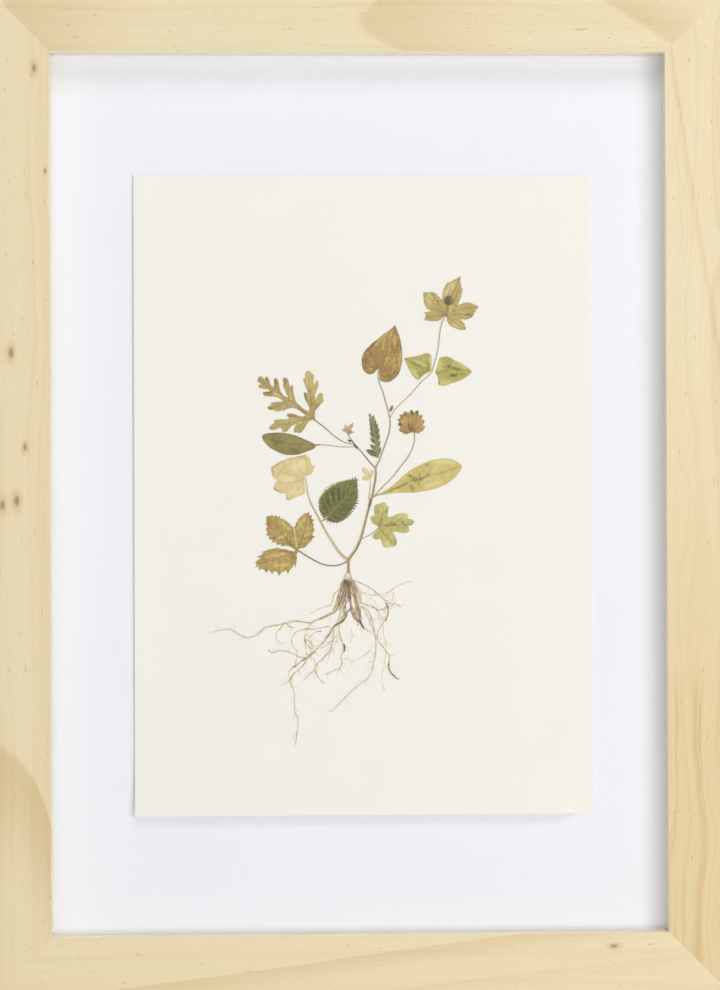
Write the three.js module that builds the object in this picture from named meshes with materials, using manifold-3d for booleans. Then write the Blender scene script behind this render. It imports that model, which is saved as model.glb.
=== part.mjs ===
// Pressed flower frame: a mitred pine box frame with glass in front, and behind it a cream sheet
// that carries a pressed plant, raised a little off a white mount board.
// Millimetres, X to the right, Z up, the front facing -Y, the wall behind the rails at y = 0.
// The origin is on the wall, where the nail that carries the hanger's middle notch goes in.
import * as THREE from "three";
import { mergeVertices } from "three/addons/utils/BufferGeometryUtils.js";
import Module from "manifold-3d";

const wasm = await Module();
wasm.setup();

// Driving dimensions of the frame
const OPENING_WIDTH = 285;
const OPENING_HEIGHT = 408;
const RAIL_FACE = 27;
const RAIL_DEPTH = 25;
const LIP_REACH = 6;
const LIP_THICK = 7;
const GLASS_THICK = 2;
const SPACER_DEPTH = 5;
const SPACER_WIDTH = 5.7;
const MOUNT_THICK = 1.5;
const BACKING_THICK = 3;
const BOARD_CLEARANCE = 0.3;

// Driving dimensions of the sheet and of what presses on it
const SHEET_WIDTH = 213;
const SHEET_HEIGHT = 298;
const SHEET_THICK = 0.25;
const SHEET_SHIFT = [2, -0.9];
const PAD_WIDTH = 190;
const PAD_HEIGHT = 275;
const PAD_THICK = 1;

// Driving dimensions of the tabs and the hanger
const TAB_LENGTH = 12;
const TAB_WIDTH = 5;
const TAB_THICK = 0.5;
const HANGER_LENGTH = 46;
const HANGER_HEIGHT = 9;
const HANGER_PLATE = 0.8;
const HANGER_STAND = 3.2;
const HANGER_FOOT = 9;
const HANGER_TEETH = 7;
const HANGER_BELOW_TOP = 37;

// Driving dimensions of the plant, whose points are measured from the root crown
const CROWN_SHIFT = [-5.6, -37.9];
const LEAF_THICK = 0.375;
const STEM_THICK = 0.75;
const TWIG_THICK = 0.5;
const ROOT_THICK = 0.375;
const CROWN_THICK = 1.25;
const STATION_STEP = 3.2;

// Planes and edges worked out from them
const FRONT = -RAIL_DEPTH;
const GLASS_FRONT = FRONT + LIP_THICK;
const GLASS_BACK = GLASS_FRONT + GLASS_THICK;
const MOUNT_FRONT = GLASS_BACK + SPACER_DEPTH;
const BACKING_FRONT = MOUNT_FRONT + MOUNT_THICK;
const BACKING_BACK = BACKING_FRONT + BACKING_THICK;
const SHEET_BACK = MOUNT_FRONT - PAD_THICK;
const SHEET_FRONT = SHEET_BACK - SHEET_THICK;
const TOOTH_WIDTH = (HANGER_LENGTH - 2 * HANGER_FOOT) / HANGER_TEETH;
const TOP = HANGER_BELOW_TOP + HANGER_HEIGHT - TOOTH_WIDTH / 2;
const BOTTOM = TOP - OPENING_HEIGHT - 2 * RAIL_FACE;
const RIGHT = OPENING_WIDTH / 2 + RAIL_FACE;
const LEFT = -RIGHT;
const MIDDLE = (TOP + BOTTOM) / 2;
const REBATE_HALF_WIDTH = OPENING_WIDTH / 2 + LIP_REACH;
const REBATE_HALF_HEIGHT = OPENING_HEIGHT / 2 + LIP_REACH;
const BOARD_WIDTH = 2 * (REBATE_HALF_WIDTH - BOARD_CLEARANCE);
const BOARD_HEIGHT = 2 * (REBATE_HALF_HEIGHT - BOARD_CLEARANCE);
const CROWN = [CROWN_SHIFT[0], MIDDLE + CROWN_SHIFT[1]];

// Materials
const material = (color, roughness, metalness = 0) =>
  new THREE.MeshStandardMaterial({ color, roughness, metalness });
const PINE = material(0xe6d4b0, 0.6);
const GLASS = material(0xeef4f4, 0.05);
GLASS.transparent = true;
GLASS.opacity = 0.2;
const MOUNT = material(0xf2f3f5, 0.9);
const PAPER = material(0xf1eee2, 0.95);
const FIBREBOARD = material(0x8a6a48, 0.85);
const STEEL = material(0xb8bcc0, 0.4, 0.9);
const STEM = material(0x97825f, 0.8);
const PALE_STEM = material(0xcdbb8e, 0.8);
const DARK_TWIG = material(0x6b5f4c, 0.8);
const ROOT = material(0x8d7350, 0.9);

const part = new THREE.Group();

function addNode(name, geometry, look) {
  const mesh = new THREE.Mesh(geometry, look);
  mesh.name = name;
  part.add(mesh);
}

// Solids joined into one body
function toSolid(geometry) {
  const bare = new THREE.BufferGeometry();
  bare.setAttribute("position", geometry.getAttribute("position"));
  if (geometry.index) bare.setIndex(geometry.index);
  const merged = mergeVertices(bare, 1e-4);
  return new wasm.Manifold(
    new wasm.Mesh({
      numProp: 3,
      vertProperties: merged.getAttribute("position").array,
      triVerts: new Uint32Array(merged.index.array),
    }),
  );
}

function fromSolid(solid) {
  const made = solid.getMesh();
  const geometry = new THREE.BufferGeometry();
  geometry.setAttribute("position", new THREE.BufferAttribute(new Float32Array(made.vertProperties), 3));
  geometry.setIndex(new THREE.BufferAttribute(new Uint32Array(made.triVerts), 1));
  return geometry;
}

function join(geometries) {
  return fromSolid(geometries.map(toSolid).reduce((whole, next) => whole.add(next)));
}

// Rails: an L section with a rebate behind the lip, mitred at both ends
function railGeometry(outerLength, place) {
  const wall = RAIL_FACE - LIP_REACH;
  const section = [
    [0, FRONT],
    [RAIL_FACE, FRONT],
    [RAIL_FACE, GLASS_FRONT],
    [wall, GLASS_FRONT],
    [wall, 0],
    [0, 0],
  ];
  const corners = [];
  for (const end of [-1, 1]) {
    for (const [inset, y] of section) {
      const [x, z] = place(end * (outerLength / 2 - inset), inset);
      corners.push(x, y, z);
    }
  }
  const count = section.length;
  const faces = [];
  for (let i = 0; i < count; i++) {
    const next = (i + 1) % count;
    faces.push(i, count + next, count + i, i, next, count + next);
  }
  const cap = THREE.ShapeUtils.triangulateShape(section.map(([u, y]) => new THREE.Vector2(u, y)), []);
  for (const [a, b, c] of cap) {
    faces.push(a, c, b, count + a, count + b, count + c);
  }
  const geometry = new THREE.BufferGeometry();
  geometry.setAttribute("position", new THREE.Float32BufferAttribute(corners, 3));
  geometry.setIndex(faces);
  return geometry;
}

function addRails() {
  const width = RIGHT - LEFT;
  const height = TOP - BOTTOM;
  addNode("rail_top", railGeometry(width, (along, inset) => [along, TOP - inset]), PINE);
  addNode("rail_bottom", railGeometry(width, (along, inset) => [-along, BOTTOM + inset]), PINE);
  addNode("rail_left", railGeometry(height, (along, inset) => [LEFT + inset, MIDDLE + along]), PINE);
  addNode("rail_right", railGeometry(height, (along, inset) => [RIGHT - inset, MIDDLE - along]), PINE);
}

// Flat boards, given by their size, the middle of their face and their front and back planes
function addBoard(name, width, height, [x, z], front, back, look) {
  const geometry = new THREE.BoxGeometry(width, back - front, height);
  geometry.translate(x, (front + back) / 2, z);
  addNode(name, geometry, look);
}

function addBoards() {
  const centre = [0, MIDDLE];
  const sheetCentre = [SHEET_SHIFT[0], MIDDLE + SHEET_SHIFT[1]];
  addBoard("glass_pane", BOARD_WIDTH, BOARD_HEIGHT, centre, GLASS_FRONT, GLASS_BACK, GLASS);
  addBoard("mount_board", BOARD_WIDTH, BOARD_HEIGHT, centre, MOUNT_FRONT, BACKING_FRONT, MOUNT);
  addBoard("backing_board", BOARD_WIDTH, BOARD_HEIGHT, centre, BACKING_FRONT, BACKING_BACK, FIBREBOARD);
  addBoard("float_pad", PAD_WIDTH, PAD_HEIGHT, sheetCentre, SHEET_BACK, MOUNT_FRONT, MOUNT);
  addBoard("sheet", SHEET_WIDTH, SHEET_HEIGHT, sheetCentre, SHEET_FRONT, SHEET_BACK, PAPER);
}

// Spacers keep the glass off the mount board, the side ones standing between the other two
function addSpacers() {
  const reachX = BOARD_WIDTH / 2 - SPACER_WIDTH / 2;
  const reachZ = BOARD_HEIGHT / 2 - SPACER_WIDTH / 2;
  const sideLength = BOARD_HEIGHT - 2 * SPACER_WIDTH - 2 * BOARD_CLEARANCE;
  for (const [name, sign] of [["top", 1], ["bottom", -1]]) {
    const at = [0, MIDDLE + sign * reachZ];
    addBoard("spacer_" + name, BOARD_WIDTH, SPACER_WIDTH, at, GLASS_BACK, MOUNT_FRONT, PINE);
  }
  for (const [name, sign] of [["right", 1], ["left", -1]]) {
    const at = [sign * reachX, MIDDLE];
    addBoard("spacer_" + name, SPACER_WIDTH, sideLength, at, GLASS_BACK, MOUNT_FRONT, PINE);
  }
}

// Spring steel tabs hold the backing board in, each with its outer end against the rebate wall
function addTabs() {
  const reachX = REBATE_HALF_WIDTH - 0.1 - TAB_LENGTH / 2;
  const reachZ = REBATE_HALF_HEIGHT - 0.1 - TAB_LENGTH / 2;
  const tabs = [
    ["left_upper", TAB_LENGTH, TAB_WIDTH, [-reachX, MIDDLE + OPENING_HEIGHT / 4]],
    ["left_lower", TAB_LENGTH, TAB_WIDTH, [-reachX, MIDDLE - OPENING_HEIGHT / 4]],
    ["right_upper", TAB_LENGTH, TAB_WIDTH, [reachX, MIDDLE + OPENING_HEIGHT / 4]],
    ["right_lower", TAB_LENGTH, TAB_WIDTH, [reachX, MIDDLE - OPENING_HEIGHT / 4]],
    ["top", TAB_WIDTH, TAB_LENGTH, [OPENING_WIDTH / 4, MIDDLE + reachZ]],
    ["bottom", TAB_WIDTH, TAB_LENGTH, [0, MIDDLE - reachZ]],
  ];
  for (const [name, width, height, at] of tabs) {
    addBoard("retaining_tab_" + name, width, height, at, BACKING_BACK, BACKING_BACK + TAB_THICK, STEEL);
  }
}

// Flat outlines, drawn in x and z, become slabs from the plane y = back towards the viewer
function slab(outline, thick, back) {
  const shape = new THREE.Shape(outline.map(([x, z]) => new THREE.Vector2(x, z)));
  const geometry = new THREE.ExtrudeGeometry(shape, { depth: thick, bevelEnabled: false });
  geometry.rotateX(Math.PI / 2);
  geometry.translate(0, back, 0);
  return geometry;
}

// Hanger: a steel strip on the backing board, its middle raised so that its toothed lower edge
// catches on a nail, its two feet flat on the board
function addHanger() {
  const top = TOP - HANGER_BELOW_TOP;
  const half = HANGER_LENGTH / 2;
  const bar = [[-half, top], [half, top]];
  bar.push([half, top - HANGER_HEIGHT], [half - HANGER_FOOT, top - HANGER_HEIGHT]);
  for (let i = 0; i < HANGER_TEETH; i++) {
    const right = half - HANGER_FOOT - i * TOOTH_WIDTH;
    bar.push([right - TOOTH_WIDTH / 2, top - HANGER_HEIGHT + TOOTH_WIDTH / 2]);
    bar.push([right - TOOTH_WIDTH, top - HANGER_HEIGHT]);
  }
  bar.push([-half, top - HANGER_HEIGHT]);
  const plateBack = BACKING_BACK + HANGER_STAND;
  const pieces = [slab(bar, HANGER_PLATE, plateBack)];
  for (const sign of [-1, 1]) {
    const foot = new THREE.BoxGeometry(HANGER_FOOT, plateBack - BACKING_BACK, HANGER_HEIGHT);
    const middle = [sign * (half - HANGER_FOOT / 2), (plateBack + BACKING_BACK) / 2, top - HANGER_HEIGHT / 2];
    foot.translate(...middle);
    pieces.push(foot);
  }
  addNode("hanger", join(pieces), STEEL);
}

// The plant lies on the sheet: `layer` is how far its back stands off the paper
function onSheet(outline, thick, layer = 0) {
  const placed = outline.map(([x, z]) => [CROWN[0] + x, CROWN[1] + z]);
  return slab(placed, thick, SHEET_FRONT - layer);
}

// An outline made of smooth stretches: each runs to the first point of the next, where a tip or
// a notch stays sharp
function outlineOf(stretches, steps = 1) {
  const outline = [];
  stretches.forEach((stretch, i) => {
    const end = stretches[(i + 1) % stretches.length][0];
    const points = [...stretch, end].map(([x, z]) => new THREE.Vector2(x, z));
    const curve = new THREE.SplineCurve(points);
    const count = steps * stretch.length;
    for (let k = 0; k < count; k++) {
      const at = curve.getPoint(k / count);
      outline.push([at.x, at.y]);
    }
  });
  return outline;
}

// A strand along a hand-laid route, tapering from one half width to another
function strand(route, startWidth, endWidth) {
  const curve = new THREE.SplineCurve(route.map(([x, z]) => new THREE.Vector2(x, z)));
  const count = Math.max(2, Math.ceil(curve.getLength() / STATION_STEP));
  const oneSide = [];
  const otherSide = [];
  for (let i = 0; i <= count; i++) {
    const at = curve.getPointAt(i / count);
    const along = curve.getTangentAt(i / count);
    const half = THREE.MathUtils.lerp(startWidth, endWidth, i / count) / 2;
    oneSide.push([at.x - along.y * half, at.y + along.x * half]);
    otherSide.unshift([at.x + along.y * half, at.y - along.x * half]);
  }
  return [...oneSide, ...otherSide];
}

// A toothed edge along a hand-laid route from a leaf's base to its tip, teeth pointing to the tip;
// `side` is 1 where the route has the leaf on its right and -1 where it has it on its left
function toothedEdge(route, side, teeth, bite) {
  const curve = new THREE.SplineCurve(route.map(([x, z]) => new THREE.Vector2(x, z)));
  const edge = [];
  for (let i = 0; i < teeth; i++) {
    for (const [step, reach] of [[0.2, -0.5], [0.8, 0.5]]) {
      const t = (i + step) / teeth;
      const at = curve.getPointAt(t);
      const along = curve.getTangentAt(t);
      const out = side * bite * reach;
      edge.push([at.x - along.y * out, at.y + along.x * out]);
    }
  }
  return edge;
}

// Root crown, swollen under the stem and fanning out below into the thick of the roots
const CROWN_OUTLINE = [
  [[-0.6, 0.2], [1.3, 0.2], [1.9, -1], [2.6, -2.3], [3.6, -3.8], [4.8, -7], [5.6, -10.5], [5.8, -13],
    [5.8, -16.5], [6.3, -20], [7.2, -23.2]],
  [[8.3, -26.2], [6.6, -25.2], [5.2, -24], [4.2, -22.3], [2.9, -20.2], [2.1, -17.8]],
  [[1.4, -16.4], [0.4, -17.6], [-0.3, -19.8]],
  [[-1.4, -20.5], [-1.8, -18], [-2.6, -16.6]],
  [[-3, -16.4], [-4.6, -17.8]],
  [[-6, -17.6], [-5.6, -15.2], [-4.8, -12], [-4, -8.5], [-3, -5.5], [-2.3, -3], [-2.4, -1.4], [-1.8, -0.4]],
];

// Roots: name, route, width where it starts, width at its tip, and how far it stands off the sheet
const ROOTS = [
  ["root_long_left", [[-6.3, -18], [-10, -19.6], [-14, -21.1], [-17.1, -22.6], [-20, -22.2], [-22.6, -21.8],
    [-25.2, -22], [-30.7, -23.2], [-34.1, -23.7], [-39.2, -25.2], [-41.7, -27.8], [-46, -29.2],
    [-49.4, -28.5],
    [-53.2, -26], [-57.5, -25.4], [-63.4, -27]], 1.3, 0.3, 0],
  ["root_lower_left", [[-1.9, -20.9], [-4, -22.8], [-6.3, -24.3], [-8.2, -27.6], [-10, -30.3],
    [-12.4, -32.8],
    [-15, -35.8], [-18, -38.4], [-21.4, -43.3], [-24.8, -46.2], [-27.1, -48.7], [-26.8, -51],
    [-25.4, -53.5],
    [-25, -57], [-24.7, -59.5], [-25.3, -62.5], [-24, -64.9], [-23.2, -68.5], [-23.6, -74], [-24.6, -79]],
    1.3, 0.3, 0],
  ["root_right_loop", [[3.4, -2.9], [5.5, -4], [8.2, -5.3], [10.5, -6], [12.7, -8.2], [15, -10],
    [17.2, -12.1],
    [18.6, -14.3], [19, -16.6], [18.6, -19.3], [17.2, -22], [15.4, -24.5], [14, -27.2], [13.6, -29.4]],
    0.5, 0.3, 0],
  ["root_right", [[6.5, -15.3], [9.2, -16.9], [11, -20.2], [11.8, -23.8], [12.8, -27.4], [13.1, -30.6],
    [13.2, -34.2], [13, -37.3], [12.3, -40.5], [10.5, -46.8], [8.5, -49.5], [3.3, -53.1], [-2.1, -58.4],
    [-7.5, -63.8]], 0.9, 0.3, 0],
  ["root_right_outer", [[13.9, -31], [16.8, -34.6], [18.6, -36.7], [19.6, -39.1], [19.1, -41.9],
    [19.1, -44.1],
    [20.4, -47], [23.6, -49.1]], 0.6, 0.3, 0],
  ["root_right_side", [[6.3, -13.6], [8.7, -14.4], [11.4, -15.5], [15.4, -17], [17.2, -16.2], [20, -15.3],
    [21.3, -14], [23.1, -14.2], [24.5, -15.3]], 0.5, 0.3, 0.5],
  ["root_middle", [[-4.2, -24.6], [-3.4, -28.8], [-2.5, -31.5], [-1.4, -35], [-2.5, -36.9], [-3.2, -39],
    [-2.7, -42], [-4.3, -44.8], [-6.6, -44.8], [-9.5, -46.4]], 0.6, 0.3, 0],
  ["root_second_left", [[-6.2, -26.4], [-6.6, -28.8], [-7.7, -34.5], [-10.3, -37.9], [-12.8, -40.3],
    [-15.2, -43], [-16.3, -45.2], [-20.1, -48.8]], 0.6, 0.3, 0],
];

// Stems and stalks: name, route, width where it starts, width at its end, thickness, material
const STEMS = [
  ["main_stem", [[0.35, 0.4], [0.5, 4], [0.7, 7], [3, 10], [4.4, 12.3], [5.8, 15.4], [7.3, 20], [8.55, 25],
    [9.9, 30], [10.9, 34], [12, 37.5], [12.6, 41], [13.35, 45], [13.3, 49.6]], 1.5, 1.1, STEM_THICK, STEM],
  ["upper_stem", [[13.5, 50], [14.7, 52], [15.9, 55], [17.3, 59], [18.6, 62.6], [19.7, 66], [20.2, 70],
    [19.5, 75], [18.2, 80], [16.8, 85], [15.5, 88.2], [14.8, 90.5],
    [14.65, 94.6]], 0.9, 0.6, STEM_THICK, STEM],
  ["pair_branch", [[20.6, 73.4], [21.8, 75.7], [25, 79.2], [30, 83.9], [34.9, 89.6], [37.6, 91.9],
    [39.6, 93.9]], 0.5, 0.6, TWIG_THICK, STEM],
  ["flower_stalk", [[39.9, 94.3], [40.8, 97.6], [41.6, 100.2], [42.3, 102.8], [42.9, 106.2], [43.3, 110],
    [43.9, 114], [44.9, 118], [45.5, 119.4]], 0.6, 0.9, TWIG_THICK, PALE_STEM],
  ["clover_stalk", [[13.6, 37.2], [16.05, 40], [21.1, 45], [25, 50], [28.8, 55], [31.1, 60], [31.65, 63],
    [31.4, 65.4]], 0.6, 0.7, TWIG_THICK, STEM],
  ["left_twig", [[12.5, 50.1], [9.8, 53.1], [7.3, 56.3], [4.9, 58.8]], 0.7, 0.6, TWIG_THICK, DARK_TWIG],
  ["star_stalk", [[4.4, 59.6], [3.4, 60.8], [2.6, 61.8], [1.7, 63],
    [1, 64.1]], 0.6, 0.4, TWIG_THICK, DARK_TWIG],
  ["divided_petiole", [[2.9, 60.5], [1, 61.1], [-0.9, 61.1], [-2.8, 62.2], [-4.5, 63.5], [-6.2, 64.4],
    [-8.6, 66.8], [-11, 68.8], [-14.3, 71.2]], 0.4, 0.7, TWIG_THICK, STEM],
  ["oval_petiole", [[3.8, 59.3], [2.5, 59.4], [0, 59.1], [-5, 59.5], [-10, 60.1], [-14.1, 60.1]],
    0.5, 0.7, TWIG_THICK, PALE_STEM],
  ["left_branch", [[-0.5, 7.1], [-1.5, 7.9], [-3.4, 9.7], [-5.4, 12.4], [-7.4, 15.6], [-9.5, 18.9],
    [-11.7, 23], [-13.2, 26], [-15.3, 29.9], [-17.2, 33.7], [-18.4, 37.6], [-18.8, 41], [-19.2, 43.6]],
    1.6, 0.7, STEM_THICK, PALE_STEM],
  ["strawberry_petiole", [[-0.4, 5.7], [-1.6, 5], [-3.5, 4.3], [-6.5, 3.8], [-10, 4.2], [-12.5, 5],
    [-15, 6.2], [-17.5, 7.6], [-20, 9.1], [-22.1, 10.5]], 0.7, 0.8, TWIG_THICK, DARK_TWIG],
  ["small_leaf_stalk", [[10.15, 35.4], [10.6, 39], [10.95, 42.5],
    [10.9, 43.9]], 0.6, 0.5, TWIG_THICK, STEM],
  ["oak_petiole", [[7.2, 16.6], [9, 17.4], [11.5, 18.8], [13.1, 20],
    [14.2, 21.1]], 0.35, 0.6, TWIG_THICK, STEM],
];

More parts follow.
